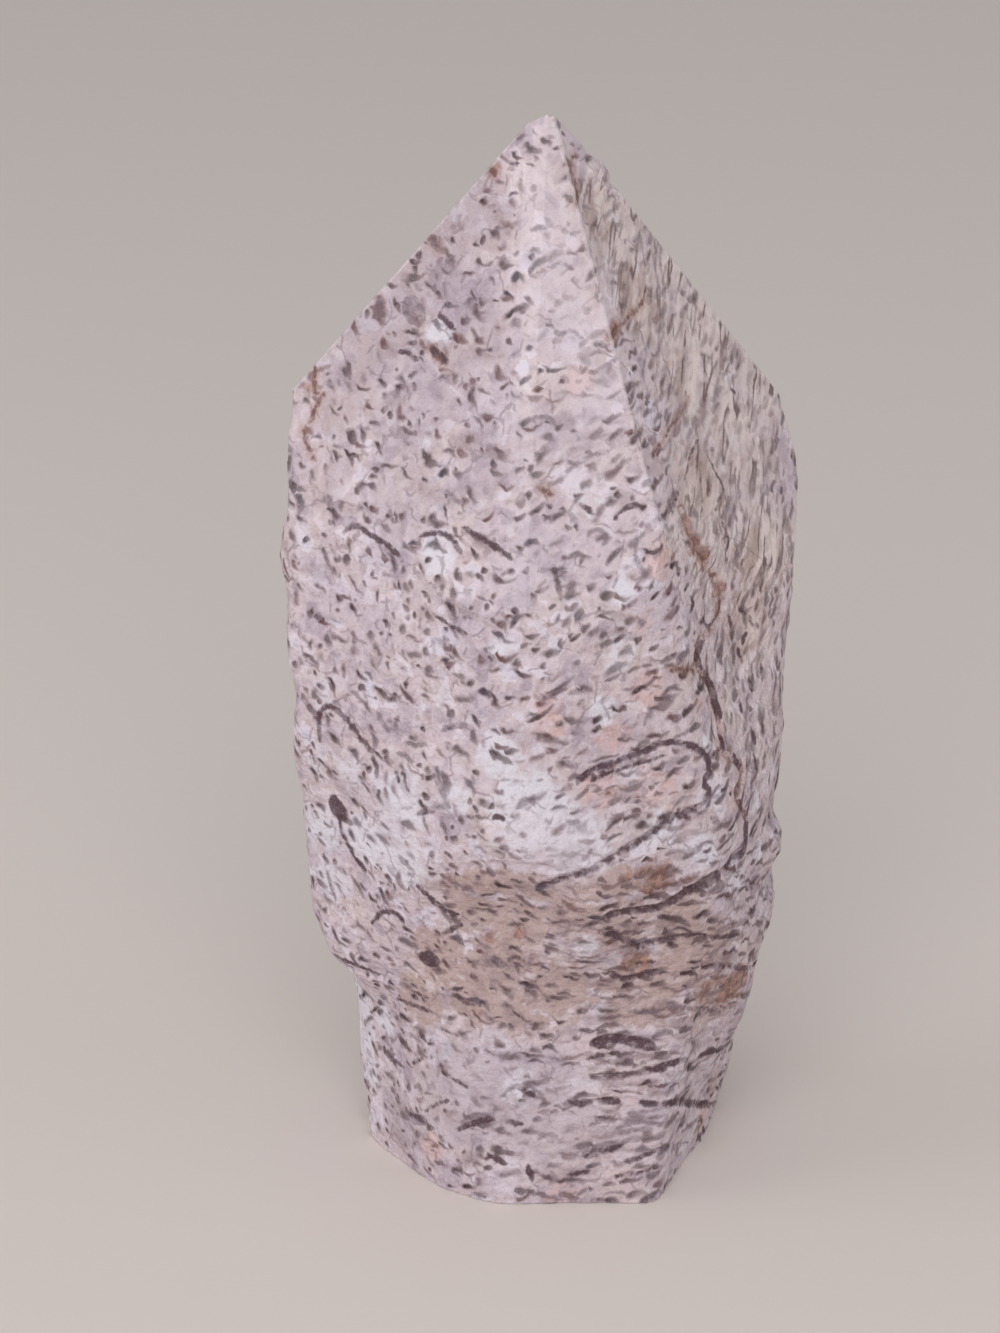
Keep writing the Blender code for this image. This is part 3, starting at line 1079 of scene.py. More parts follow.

# %% [markdown]
# ## Patches of colour
#
# Between the specks the stone has patches of several colours. Each patch is a pixel, a radius in
# pixels and a strength, and the material later frays its edge with noise. First the patches of a
# colour: dusk is a greyer, darker ground mass, salmon and white are grains of their own, and on the
# left edge of the foot the white is painted light as well. Tan is the brownish broken hollow at the
# waist, with painted shade in a strip under its lip, and rust is where water stained it.

# %% Patches of a colour
COLOUR_PATCHES = {
    "dusk": (
        (470, 210, 44, 0.8),
        (430, 260, 56, 0.9),
        (380, 330, 56, 0.8),
        (460, 330, 50, 0.7),
        (340, 400, 50, 0.7),
        (410, 420, 60, 0.6),
        (320, 480, 40, 0.5),
        (480, 470, 50, 0.6),
        (410, 500, 50, 0.5),
        (590, 430, 40, 0.4),
        (402, 1120, 34, 1.1),
        (470, 1095, 56, 1.2),
        (545, 1110, 56, 1.0),
        (625, 1130, 46, 0.4),
        (560, 300, 40, 0.3),
    ),
    "salmon": (
        (549, 726, 20, 1.0),
        (597, 790, 24, 0.9),
        (614, 736, 22, 0.9),
        (545, 705, 18, 0.8),
        (650, 690, 26, 0.8),
        (640, 620, 26, 0.6),
        (660, 560, 24, 0.9),
        (579, 380, 16, 1.2),
        (431, 1147, 18, 1.0),
        (588, 1050, 24, 0.6),
        (540, 1060, 26, 0.4),
        (640, 1090, 30, 0.6),
        (700, 1120, 26, 0.9),
        (714, 1085, 20, 0.8),
        (655, 790, 36, 0.7),
        (735, 800, 18, 0.7),
        (355, 850, 26, 0.5),
        (390, 745, 26, 0.4),
        (345, 600, 26, 0.4),
        (620, 1170, 26, 0.6),
        (560, 1195, 22, 0.8),
        (660, 865, 24, 0.5),
        (700, 700, 14, 0.8),
        (612, 700, 18, 0.6),
        (345, 470, 26, 0.4),
    ),
    "white_and_painted_light": (
        (604, 709, 16, 1.0),
        (502, 646, 15, 0.8),
        (499, 754, 26, 0.8),
        (530, 815, 44, 1.0),
        (575, 845, 36, 0.9),
        (709, 744, 12, 0.7),
        (438, 334, 15, 0.9),
        (620, 594, 15, 0.7),
        # Painted light: the left edge of the foot, whiter where light falls on it
        (352, 985, 20, 1.2),
        (360, 1005, 24, 1.3),
        (362, 1035, 24, 1.3),
        (368, 1065, 20, 1.2),
        (385, 1020, 20, 0.8),
        (322, 690, 24, 0.5),
        (316, 760, 22, 0.6),
        (322, 830, 26, 0.8),
        (330, 880, 26, 0.9),
        (370, 840, 30, 0.9),
        (345, 770, 24, 0.5),
        (400, 800, 34, 0.8),
        (437, 558, 18, 0.9),
        (455, 795, 22, 0.6),
        (400, 860, 34, 0.9),
        (430, 700, 20, 0.4),
        (620, 640, 20, 0.6),
        (660, 830, 26, 0.7),
        (700, 850, 22, 0.8),
        (735, 880, 24, 0.7),
        (520, 1085, 24, 0.6),
        (580, 1085, 22, 0.5),
        (372, 1120, 18, 0.7),
        (490, 1040, 22, 0.4),
        (620, 660, 18, 0.7),
        (425, 445, 16, 0.4),
        (590, 500, 26, 0.5),
        (375, 1080, 20, 0.6),
        (688, 1140, 30, 0.6),
        (700, 1090, 24, 0.5),
        (757, 850, 12, 0.9),
        (755, 800, 14, 0.8),
        (585, 945, 20, 0.6),
    ),
    "tan": (
        # Painted shade: a strip of darker tan right under the lip of the waist
        (455, 886, 16, 1.0),
        (480, 882, 17, 1.0),
        (505, 884, 18, 1.0),
        (532, 888, 19, 1.0),
        (560, 892, 18, 1.0),
        (590, 888, 16, 1.0),
        (620, 882, 17, 1.0),
        (650, 880, 15, 1.0),
        (470, 912, 24, 1.0),
        (520, 920, 30, 1.0),
        (575, 920, 30, 1.0),
        (620, 925, 30, 0.9),
        (680, 920, 26, 0.8),
        (700, 950, 44, 0.8),
        (440, 955, 34, 0.8),
        (500, 960, 36, 0.8),
        (560, 990, 40, 0.7),
        (640, 990, 44, 0.8),
        (710, 1000, 40, 0.8),
        (480, 1000, 34, 0.8),
        (420, 1000, 30, 0.8),
        (640, 300, 44, 0.6),
        (680, 350, 40, 0.4),
        (700, 490, 46, 0.7),
        (760, 560, 44, 0.7),
        (600, 220, 30, 0.6),
        (745, 620, 44, 0.6),
        (520, 1010, 34, 0.6),
    ),
    "rust": (
        (658, 879, 22, 0.9),
        (638, 880, 20, 0.8),
        (685, 882, 16, 0.6),
        (625, 952, 16, 0.8),
        (635, 960, 18, 0.9),
        (640, 975, 14, 0.7),
        (735, 984, 24, 1.1),
        (708, 988, 20, 0.9),
        (755, 985, 14, 0.9),
        (687, 527, 12, 1.1),
        (694, 542, 16, 1.1),
        (702, 557, 14, 1.2),
        (719, 590, 13, 1.0),
        (618, 792, 11, 0.7),
        (491, 168, 12, 0.9),
        (438, 353, 11, 0.8),
        (614, 332, 14, 1.1),
        (455, 880, 16, 0.5),
        (495, 938, 12, 0.8),
        (517, 932, 12, 0.8),
        (470, 1012, 16, 0.5),
        (545, 1000, 14, 0.4),
        (707, 660, 14, 0.5),
        (546, 491, 12, 0.6),
        (312, 385, 14, 0.6),
        (744, 930, 12, 0.6),
    ),
}
print("patches of a colour:", sum(len(patches) for patches in COLOUR_PATCHES.values()))

# %% [markdown]
# Other patches say where the pattern is of another kind: under a veil the specks are pale and faint.
# On the front ground face the veil is a painted sheen, on the left edge of the foot painted light, and
# elsewhere on the foot paler stone. Bands are level dark and pale layers, and streaks are the steep
# long grains of the right ground face.

# %% Patches of another pattern
PATTERN_PATCHES = {
    "veil_and_painted_light": (
        # Painted sheen: on the front ground face the veil stands for its glossy reflection
        (535, 190, 22, 0.9),
        (552, 230, 28, 1.0),
        (562, 290, 30, 1.0),
        (575, 340, 30, 1.0),
        (590, 395, 30, 0.9),
        (605, 450, 26, 0.5),
        (530, 300, 24, 0.5),
        (590, 480, 24, 0.5),
        (565, 855, 40, 0.9),
        (530, 835, 36, 0.7),
        (597, 800, 30, 0.5),
        # Painted light: the left edge of the foot, paler where light falls on it
        (352, 990, 22, 0.9),
        (360, 1020, 24, 1.0),
        (365, 1055, 22, 0.9),
        (375, 1090, 22, 0.6),
        (395, 830, 44, 0.6),
        (345, 875, 30, 0.6),
        (335, 780, 26, 0.4),
        (705, 1030, 30, 0.8),
        (700, 1080, 34, 1.0),
        (690, 1130, 36, 1.0),
        (672, 1160, 30, 0.9),
        (430, 1105, 40, 0.6),
        (480, 1085, 56, 0.7),
        (560, 1110, 60, 0.8),
        (635, 1125, 56, 0.7),
        (530, 1165, 40, 0.5),
    ),
    "bands": (
        (640, 920, 50, 0.8),
        (720, 940, 50, 1.0),
        (700, 1000, 60, 1.0),
        (640, 1000, 50, 0.8),
        (630, 1060, 56, 0.8),
        (690, 1090, 50, 0.5),
        (630, 1130, 50, 0.7),
        (580, 1150, 40, 0.5),
        (580, 900, 44, 0.6),
        (560, 960, 44, 0.5),
        (640, 780, 50, 0.5),
        (700, 850, 40, 0.6),
        (600, 740, 50, 0.4),
    ),
    "streaks": (
        (596, 200, 30, 0.8),
        (610, 240, 34, 0.9),
        (640, 290, 44, 1.0),
        (690, 370, 60, 1.0),
        (740, 440, 60, 1.0),
        (700, 480, 48, 1.0),
        (765, 540, 50, 1.0),
        (630, 215, 30, 0.9),
        (670, 265, 34, 1.0),
        (715, 320, 38, 1.0),
        (765, 385, 44, 1.0),
        (715, 560, 40, 0.9),
        (676, 520, 24, 0.8),
        (750, 640, 50, 0.5),
        (755, 740, 50, 0.4),
    ),
}
print("patches of a pattern:", sum(len(patches) for patches in PATTERN_PATCHES.values()))

# %% [markdown]
# A patch is at its full strength out to half its radius, and fades to nothing at one and a half. It
# is a ball around a place on the stone, so it also looks right from the side. Where patches of one
# kind overlap, the stronger one counts.

# %% Keep the patches at the points
PIXELS_PER_MM = 7.18
PATCH_END = 1.5


def patch_weights(patches):
    """How strongly each point lies in one of the patches."""
    weights = np.zeros(len(points))
    for across, down, radius, strength in patches:
        place = seen_at(across, down)
        if place:
            away = np.linalg.norm(points - np.array(place), axis=1) / (radius * MM / PIXELS_PER_MM)
            weights = np.maximum(weights, strength * np.clip(PATCH_END - away, 0.0, 1.0))
    return weights


for name, patches in {**COLOUR_PATCHES, **PATTERN_PATCHES}.items():
    weights = patch_weights(patches)
    keep(name, weights)
    print(name, "covers", round(100.0 * (weights > 0.0).mean()), "% of the points")

# %% [markdown]
# ## The pattern as nodes
#
# Everything else in the pattern is made by the material itself, from noises that fill space. So the
# pattern runs through the stone, and is cut by its faces as in the real one. Drawn as a node tree
# it would be a page of boxes. Here a layer is one output of a node, and short formulas make the
# nodes: adding, multiplying or dividing two layers adds the node that does it.

# %% Layers of the pattern
jasper = bpy.data.materials.new("jasper")
jasper.use_nodes = True
nodes = jasper.node_tree.nodes
links = jasper.node_tree.links
shader = nodes["Principled BSDF"]


class Layer:
    """A value that changes over the stone."""

    def __init__(self, socket):
        self.socket = socket

    def __add__(self, other):
        return worked_out("ADD", self, other)

    def __sub__(self, other):
        return worked_out("SUBTRACT", self, other)

    def __rsub__(self, other):
        return worked_out("SUBTRACT", other, self)

    def __mul__(self, other):
        return worked_out("MULTIPLY", self, other)

    def __truediv__(self, other):
        return worked_out("DIVIDE", self, other)


def feed(socket, value):
    """Link a layer to a socket, or set the socket to a plain value."""
    if isinstance(value, Layer):
        links.new(value.socket, socket)
    elif socket.type == "VECTOR" and isinstance(value, float):
        socket.default_value = (value, value, value)
    else:
        socket.default_value = value


def add_node(kind, inputs, **settings):
    """Add a node, and return its outputs by name."""
    made = nodes.new("ShaderNode" + kind)
    for name, value in settings.items():
        setattr(made, name, value)
    for name, value in inputs.items():
        feed(made.inputs[name], value)
    return {socket.name: Layer(socket) for socket in made.outputs}


def worked_out(operation, *parts):
    """The result of a math node, or of a vector math node if a part is a vector."""
    wide = any(isinstance(part, Layer) and part.socket.type == "VECTOR" for part in parts)
    kind = "VectorMath" if wide else "Math"
    outputs = add_node(kind, dict(enumerate(parts)), operation=operation)
    return outputs["Vector" if wide else "Value"]


print("material:", jasper.name, "with", len(nodes), "nodes to start from")

# %% [markdown]
# A few more kinds of layers are needed again and again: a soft threshold, a value kept at the points,
# a noise of a given size, a mix of two colours, and a colour as a picture editor shows it. Blender
# mixes amounts of light, and a picture's numbers follow a curve, so paint() undoes that curve.

# %% More ways to make layers
def along(first, second):
    """How far one vector goes along another."""
    return add_node("VectorMath", {0: first, 1: second}, operation="DOT_PRODUCT")["Value"]


def fade(value, start, end):
    """0 where the value is at start or before it, 1 from end on, and smooth in between."""
    inputs = {"Value": value, "From Min": start, "From Max": end}
    return add_node("MapRange", inputs, interpolation_type="SMOOTHSTEP")["Result"]


def kept(name):
    """A value stored at the points of the stone."""
    wide = skin.attributes[name].data_type == "FLOAT_VECTOR"
    return add_node("Attribute", {}, attribute_name=name)["Vector" if wide else "Fac"]


def cloud(where, size, detail=0.0):
    """Soft noise between 0 and 1, with lumps about as large as size, in millimetres."""
    return add_node("TexNoise", {"Vector": where, "Scale": 1.0 / size, "Detail": detail})


def parts_of(colour):
    """The red, green and blue of a colour, each as a layer."""
    return [*add_node("SeparateColor", {"Color": colour}).values()]


def blend(amount, first, second):
    """The first colour where amount is 0, the second where it is 1."""
    made = nodes.new("ShaderNodeMix")
    made.data_type = "RGBA"
    amount_input, first_input, second_input = (made.inputs[number] for number in (0, 6, 7))
    feed(amount_input, amount)
    feed(first_input, first)
    feed(second_input, second)
    return Layer(made.outputs[2])


def paint(red, green, blue):
    """A colour as a picture editor shows it, from 0 to 255, turned into an amount of light."""
    seen = np.array((red, green, blue)) / 255.0
    light = np.where(seen <= 0.04045, seen / 12.92, ((seen + 0.055) / 1.055) ** 2.4)
    return (*light.tolist(), 1.0)


print("a middle grey as an amount of light:", round(paint(128, 128, 128)[0], 3))

# %% [markdown]
# ## Coordinates that waver
#
# Every noise takes a place in the stone, in millimetres, and gives a value there. With the plain
# place the edges of all shapes come out too smooth, and look computer-made. So the place is first
# pushed about a little by wide and fine waves of noise, and nearly every shape is drawn with this
# drifted place. The directions kept at the points are fetched here too.

# %% Coordinates that waver
MILLIMETRES = 1000.0
WIDE_WAVES, WIDE_PUSH = 2.6, 1.5
FINE_WAVES, FINE_PUSH = 0.8, 0.62

position = add_node("TexCoord", {})["Object"] * MILLIMETRES
wide_waves = cloud(position, WIDE_WAVES, 1.0)["Color"]
fine_waves = cloud(position, FINE_WAVES)["Color"]
drifted = position + (wide_waves - 0.5) * WIDE_PUSH + (fine_waves - 0.5) * FINE_PUSH
lie_layer = kept("lie")
facing_layer = kept("facing")
side_layer = add_node("VectorMath", {0: facing_layer, 1: lie_layer}, operation="CROSS_PRODUCT")["Vector"]
stretch_layer = kept("stretch")
print("nodes so far:", len(nodes))

# %% [markdown]
# ## The ground mass
#
# Under the specks the stone is a soft mosaic of pale grains, a few millimetres across, in pinkish
# cream, lilac grey and bluish white. Voronoi cells with blurred borders give the grains. Large and
# small ones are averaged and looked up in one row of colours. Then very wide noise makes some areas
# warmer and others cooler, and a finer one lays paler and darker spots over the grains.

# %% Grains of the ground mass
def grains(size, blur):
    """Random numbers, each the same all over one grain and blurred at its border."""
    inputs = {"Vector": drifted, "Scale": 1.0 / size, "Smoothness": blur}
    return parts_of(add_node("TexVoronoi", inputs, feature="SMOOTH_F1")["Color"])


def palette(amount, colours):
    """A row of colours, from the first at 0 to the last at 1."""
    made = nodes.new("ShaderNodeValToRGB")
    feed(made.inputs["Fac"], amount)
    stops = made.color_ramp.elements
    while len(stops) < len(colours):
        stops.new(0.5)
    for number, colour in enumerate(colours):
        stops[number].position = number / (len(colours) - 1.0)
        stops[number].color = colour
    return Layer(made.outputs["Color"])


GRAIN_COLOURS = (
    paint(162, 144, 157),
    paint(184, 167, 179),
    paint(207, 190, 199),
    paint(200, 183, 187),
    paint(222, 208, 219),
    paint(210, 206, 222),
)
large_grains = grains(4.6, 0.4)
small_grains = grains(1.9, 0.3)
colour = palette(large_grains[0] * 0.5 + small_grains[0] * 0.5, GRAIN_COLOURS)
print("colours of the grains:", len(GRAIN_COLOURS))

# %% Warmer, cooler, paler and darker areas
WARM = paint(206, 184, 178)
COOL = paint(184, 170, 186)
PALE_MOTTLE = paint(228, 217, 222)
DARK_MOTTLE = paint(146, 127, 136)

warmth = cloud(position, 9.0, 2.0)["Fac"]
colour = blend(fade(warmth, 0.50, 0.72) * 0.36, colour, WARM)
colour = blend(fade(warmth, 0.50, 0.30) * 0.40, colour, COOL)
mottle = cloud(drifted, 1.3, 2.0)["Fac"]
colour = blend(fade(mottle, 0.50, 0.74) * 0.34, colour, PALE_MOTTLE)
colour = blend(fade(mottle, 0.50, 0.28) * 0.34, colour, DARK_MOTTLE)
print("nodes so far:", len(nodes))

# %% [markdown]
# ## The patches, frayed
#
# A patch with a clean round edge would look like a sticker. The edge here is where the patch's
# strength plus noise passes a level, so it frays into islands and bays. Each kind has its own size
# of noise and its own softness: tan ends rather sharply, the veil of painted sheen and light has
# hardly any edge.

# %% Lay the patches over the ground mass
DUSK = paint(152, 134, 144)
TAN_AND_SHADE = paint(178, 151, 145)
SALMON = paint(216, 172, 165)
WHITE_AND_PAINTED_LIGHT = paint(220, 215, 225)
VEIL_AND_PAINTED_LIGHT = paint(220, 206, 216)


def frayed(name, size, low, high, raggedness=1.3):
    """A patch with an edge broken up by noise."""
    gnawing = cloud(drifted, size, 2.0)["Fac"]
    return fade(kept(name) + (gnawing - 0.5) * raggedness, low, high)


colour = blend(frayed("dusk", 4.0, 0.10, 0.90) * 0.46, colour, DUSK)
# Tan stone in the hollow, and painted shade in a strip under its lip
colour = blend(frayed("tan", 1.6, 0.34, 0.56) * 0.76, colour, TAN_AND_SHADE)
colour = blend(frayed("salmon", 1.2, 0.45, 0.95) * 0.50, colour, SALMON)
# White grains, and on the left edge of the foot painted light
colour = blend(frayed("white_and_painted_light", 1.6, 0.30, 0.75) * 0.85, colour, WHITE_AND_PAINTED_LIGHT)
# The veil is paler colour and fainter specks; in places it is painted sheen and painted light
veil_and_painted_light = frayed("veil_and_painted_light", 3.0, 0.05, 1.05)
colour = blend(veil_and_painted_light * 0.48, colour, VEIL_AND_PAINTED_LIGHT)
print("nodes so far:", len(nodes))

# %% [markdown]
# No patches are placed by hand on the side that the photo doesn't show. The stone won't be plain
# there, so noise alone puts tan, salmon and white patches on what faces away from the viewer. The
# numbers added to the place only take each noise from somewhere else, so that no two are alike.

# %% Patches on the hidden side
behind = fade(add_node("SeparateXYZ", {"Vector": facing_layer})["Y"], -0.05, 0.45)
white_behind = fade(cloud(drifted, 6.0, 2.0)["Fac"], 0.54, 0.68)
tan_behind = fade(cloud(drifted + 47.0, 8.0, 2.0)["Fac"], 0.54, 0.64)
salmon_behind = fade(cloud(drifted + 83.0, 4.0, 2.0)["Fac"], 0.60, 0.74)
colour = blend(tan_behind * behind * 0.50, colour, TAN_AND_SHADE)
colour = blend(salmon_behind * behind * 0.50, colour, SALMON)
colour = blend(white_behind * behind * 0.60, colour, WHITE_AND_PAINTED_LIGHT)
print("nodes so far:", len(nodes))

# %% [markdown]
# ## Streaks and bands
#
# On the right the grains were drawn out into steep brown streaks. A noise becomes long and thin if
# all distances along one direction are shortened before it is read. That direction has to lie in
# the ground face, so it is worked out from the angle that the streaks have in the photo. One such
# noise gives brown streaks where it is high and pale ones where it is low. The thin dark lines
# between them are the contour lines of another, like those on a map.

# %% Noise drawn out along a line
def vector(x, y, z):
    """Three numbers as a layer."""
    return add_node("CombineXYZ", {"X": float(x), "Y": float(y), "Z": float(z)})["Vector"]


def drawn_out(direction, share, size):
    """Noise in long shapes: all distances along the direction shrink to a share of themselves."""
    squeezed = drifted - vector(*direction) * (along(drifted, vector(*direction)) * (1.0 - share))
    return cloud(squeezed, size, 2.0)["Fac"]


STREAK_ANGLE = radians(84.0)
right_facet = max(ground, key=lambda cut: cut[0].x)[0]
streak_line = cos(STREAK_ANGLE) * VIEW_RIGHT + sin(STREAK_ANGLE) * VIEW_UP
streak_line -= VIEW_AHEAD * (streak_line.dot(right_facet) / VIEW_AHEAD.dot(right_facet))
streak_line.normalize()
print("the streaks run along:", [round(value, 2) for value in streak_line])

# %% Steep streaks on the right ground face
STREAK_GROUND = paint(222, 206, 202)
STREAK_BROWN = paint(136, 108, 100)
STREAK_PALE = paint(230, 215, 211)
STREAK_EDGE = paint(90, 62, 60)

streaks = kept("streaks")
wide_streaks = drawn_out(streak_line, 0.16, 2.1)
thin_streaks = drawn_out(streak_line, 0.18, 4.0)
streak_edges = fade(worked_out("PINGPONG", thin_streaks * 5.5, 0.5), 0.19, 0.03)
streak_gaps = fade(cloud(position + 71.0, 3.0)["Fac"], 0.36, 0.56)
colour = blend(streaks * 0.50, colour, STREAK_GROUND)
colour = blend(streaks * fade(wide_streaks, 0.50, 0.68) * 0.52, colour, STREAK_BROWN)
colour = blend(streaks * fade(wide_streaks, 0.52, 0.36) * 0.70, colour, STREAK_PALE)
colour = blend(streaks * streak_edges * streak_gaps * 0.90, colour, STREAK_EDGE)
print("nodes so far:", len(nodes))

# %% [markdown]
# Below, on the waist and the foot, the layers of the stone lie level. They are long both ways, so
# here x and y are shortened and z is not: the noise becomes thin level sheets, dark and pale.

# %% Level bands
BAND_SQUEEZE = (0.2, 0.2, 1.0)
DARK_BAND = paint(124, 98, 103)
PALE_BAND = paint(216, 200, 204)

bands = kept("bands")
level_bands = cloud(drifted * vector(*BAND_SQUEEZE), 1.1, 2.0)["Fac"]
colour = blend(bands * fade(level_bands, 0.50, 0.66) * 0.66, colour, DARK_BAND)
colour = blend(bands * fade(level_bands, 0.46, 0.30) * 0.58, colour, PALE_BAND)
print("nodes so far:", len(nodes))

# %% [markdown]
# ## The specks
#
# What everyone notices first is the specks: short dark commas, dashes and dots, mostly one and a
# half to three millimetres long. Noise gives blots, but not commas. So each cell of a Voronoi
# texture can hold one speck, and the cell's random numbers say whether it does, and turn, bend and
# size it. Inside the speck, u runs along it and v across it, both measured from its middle, and the
# bend pushes v aside by u squared.

# %% One layer of specks
SCRAMBLE = 37.7
BLUNTNESS = 3.2


def part_after_point(value, times):
    """A new random number from an old one."""
    return worked_out("FRACT", value * times)


def specks(cell, half_length, half_width, depth, bend, share, spread):
    """How strongly each point lies in a speck, how near its dark core, and a number for its hue."""
    inputs = {"Vector": drifted, "Scale": 1.0 / cell, "Randomness": 0.95}
    cells = add_node("TexVoronoi", inputs)
    chance = parts_of(cells["Color"])
    more = [part_after_point(value, SCRAMBLE) for value in chance]

    # Where the point is, seen from the speck's middle, first along the lie and then turned by chance
    offset = drifted - cells["Position"]
    forward = along(offset, lie_layer)
    sideways = along(offset, side_layer)
    angle = (chance[0] - 0.5) * (2.0 * spread) / (stretch_layer * stretch_layer)
    turned = worked_out("COSINE", angle)
    tilted = worked_out("SINE", angle)
    u = forward * turned + sideways * tilted
    v = sideways * turned - forward * tilted
    v = v - u * u * ((chance[1] - 0.5) * (2.0 * bend))

    # Its own length, and a width that gets less towards one end
    length = (chance[2] * 0.8 + 0.6) * stretch_layer * half_length
    taper = 1.0 - fade(u / length, -0.3, 1.1) * 0.28
    width = (more[0] * 0.7 + 0.65) * taper * half_width

    # How far out the point is: 0 in the middle, 1 at the rim, with blunt ends
    sideways_share = v / width
    forward_share = u / length
    depth_share = along(offset, facing_layer) / depth
    blunt = worked_out("POWER", worked_out("ABSOLUTE", forward_share), BLUNTNESS)
    far = blunt + sideways_share * sideways_share + depth_share * depth_share
    there = fade(more[1], share + 0.02, share) * fade(far, 1.90, 0.20)
    core = fade(far, 1.05, 0.15) * (fade(forward_share, 0.9, -0.4) * 0.55 + 0.45)
    return there * (more[2] * 0.35 + 0.65), core, chance[1]


# %% [markdown]
# Soft faint blots and small faint dots come first, then specks of three sizes with a dark core. A
# few of them are reddish and a few bluish, by the speck's own random number. Under the veil, with its
# painted sheen and light, and where the streaks are, they are fainter.

# %% Specks of all sizes
FAINT_SPECK = paint(130, 106, 113)
DARK_SPECK = paint(54, 28, 34)
RED_SPECK = paint(92, 50, 47)
BLUE_SPECK = paint(60, 50, 66)

# For each kind: cell, half length, half width, depth, bend, share of the cells, spread of the angles
SOFT_BLOTS = (5.0, 2.1, 1.0, 1.7, 0.12, 0.45, 0.9)
SMALL_DOTS = (1.9, 0.52, 0.42, 0.7, 0.2, 0.28, 1.5)
DARK_SPECKS = (
    (1.9, 0.50, 0.42, 0.8, 0.20, 0.32, 0.85),
    (2.5, 0.90, 0.52, 1.1, 0.32, 0.78, 0.85),
    (3.4, 1.50, 0.54, 1.45, 0.25, 0.72, 0.85),
)

# Specks fade under the veil's painted sheen and light, and in the streaks
speck_strength = (1.0 - veil_and_painted_light * 0.55) * (1.0 - streaks * 0.70)
blots, _, _ = specks(*SOFT_BLOTS)
colour = blend(blots * speck_strength * 0.36, colour, FAINT_SPECK)
dots, _, _ = specks(*SMALL_DOTS)
colour = blend(dots * speck_strength * 0.45, colour, FAINT_SPECK)
for kind in DARK_SPECKS:
    there, core, hue = specks(*kind)
    dark = blend(fade(hue, 0.84, 0.88), DARK_SPECK, RED_SPECK)
    dark = blend(fade(hue, 0.14, 0.10), dark, BLUE_SPECK)
    tone = blend(core, FAINT_SPECK, dark)
    colour = blend(there * speck_strength * (core * 0.40 + 0.60), colour, tone)
print("nodes so far:", len(nodes))

# %% [markdown]
# Many pale grains have a thin grey outline along a part of their rim. The distance to the nearest
# border of Voronoi cells of that size gives such lines, and noise leaves out most of each outline.

# %% Thin arcs around grains
OUTLINED_GRAIN = 4.4
OUTLINE_GREY = paint(126, 107, 116)

arc_inputs = {"Vector": drifted, "Scale": 1.0 / OUTLINED_GRAIN}
to_border = add_node("TexVoronoi", arc_inputs, feature="DISTANCE_TO_EDGE")["Distance"]
left_in = fade(cloud(position + 31.0, 2.2)["Fac"], 0.54, 0.62)
arcs = fade(to_border, 0.055, 0.02) * left_in
colour = blend(arcs * speck_strength * 0.50, colour, OUTLINE_GREY)
print("nodes so far:", len(nodes))

# %% [markdown]
# ## Rust and the drawn lines
#
# Rust stains what is under it, so it lies over the specks, and is mottled from tan to brown.

# %% Rust stains
RUST_TAN = paint(170, 122, 98)
RUST_BROWN = paint(112, 72, 62)

rust_mottle = fade(cloud(drifted, 1.1, 2.0)["Fac"], 0.38, 0.56)
rust_colour = blend(rust_mottle, RUST_TAN, RUST_BROWN)
colour = blend(frayed("rust", 1.8, 0.45, 1.00, 1.9) * 0.68, colour, rust_colour)
print("nodes so far:", len(nodes))

# %% [markdown]
# The lines are cut from the distances kept at the points. Noise added to the distance makes them
# swell and shrink like beads on a string, and a second noise lets them fade in places. The middle
# of a wide blot doesn't fade. Rust also glows out softly on both sides of its lines.

# %% The drawn lines
RUST_GLOW = paint(168, 120, 98)
RUST_LINE = paint(96, 56, 46)
GREY_LINE = paint(112, 94, 104)
DARK_LINE = paint(74, 46, 58)

line_layers = add_node("SeparateXYZ", {"Vector": kept("lines")})
to_dark, to_grey, to_rusty = (line_layers[axis] for axis in "XYZ")
beads = (cloud(drifted, 0.9, 2.0)["Fac"] - 0.5) * 1.1
gaps = fade(cloud(position + 53.0, 1.5, 1.0)["Fac"], 0.66, 0.48)
unbroken = worked_out("MAXIMUM", gaps, fade(to_dark, -0.40, -0.70))
dark_lines = fade(to_dark + beads * 0.75, 0.26, -0.14) * (unbroken * 0.30 + 0.70)
grey_lines = fade(to_grey + beads * 0.7, 0.24, -0.14) * (gaps * 0.6 + 0.4)
rusty_lines = fade(to_rusty + beads, 0.20, -0.20) * (gaps * 0.5 + 0.5)
rusty_glow = fade(to_rusty + beads * 1.8, 1.1, -0.1)
colour = blend(rusty_glow * 0.32, colour, RUST_GLOW)
colour = blend(rusty_lines * 0.85, colour, RUST_LINE)
colour = blend(grey_lines * 0.66, colour, GREY_LINE)
colour = blend(dark_lines * 0.94, colour, DARK_LINE)
print("nodes so far:", len(nodes))

# %% [markdown]
# Last come two things that lie on top of everything. The worn ridges are paler in places, a painted
# highlight where they catch the light. And all over there is a fine sparkle of grains too small to
# see one by one.

# %% Painted highlight on the ridges, and fine sparkle
RIDGE_HIGHLIGHT = paint(228, 218, 222)
LIGHT_SPARKLE = paint(226, 216, 220)
DARK_SPARKLE = paint(120, 102, 106)
SPARKLE_GRAIN = 0.28

# Painted highlight: the worn ridges paler where they catch the light
ridge_highlight = fade(kept("ridge") + (cloud(position, 0.9, 1.0)["Fac"] - 0.5) * 1.2, 0.50, 1.10)
colour = blend(ridge_highlight * 0.40, colour, RIDGE_HIGHLIGHT)
sparkle = cloud(position, SPARKLE_GRAIN, 2.0)["Fac"]
colour = blend(fade(sparkle, 0.50, 0.80) * 0.22, colour, LIGHT_SPARKLE)
colour = blend(fade(sparkle, 0.50, 0.22) * 0.22, colour, DARK_SPARKLE)
print("nodes so far:", len(nodes))

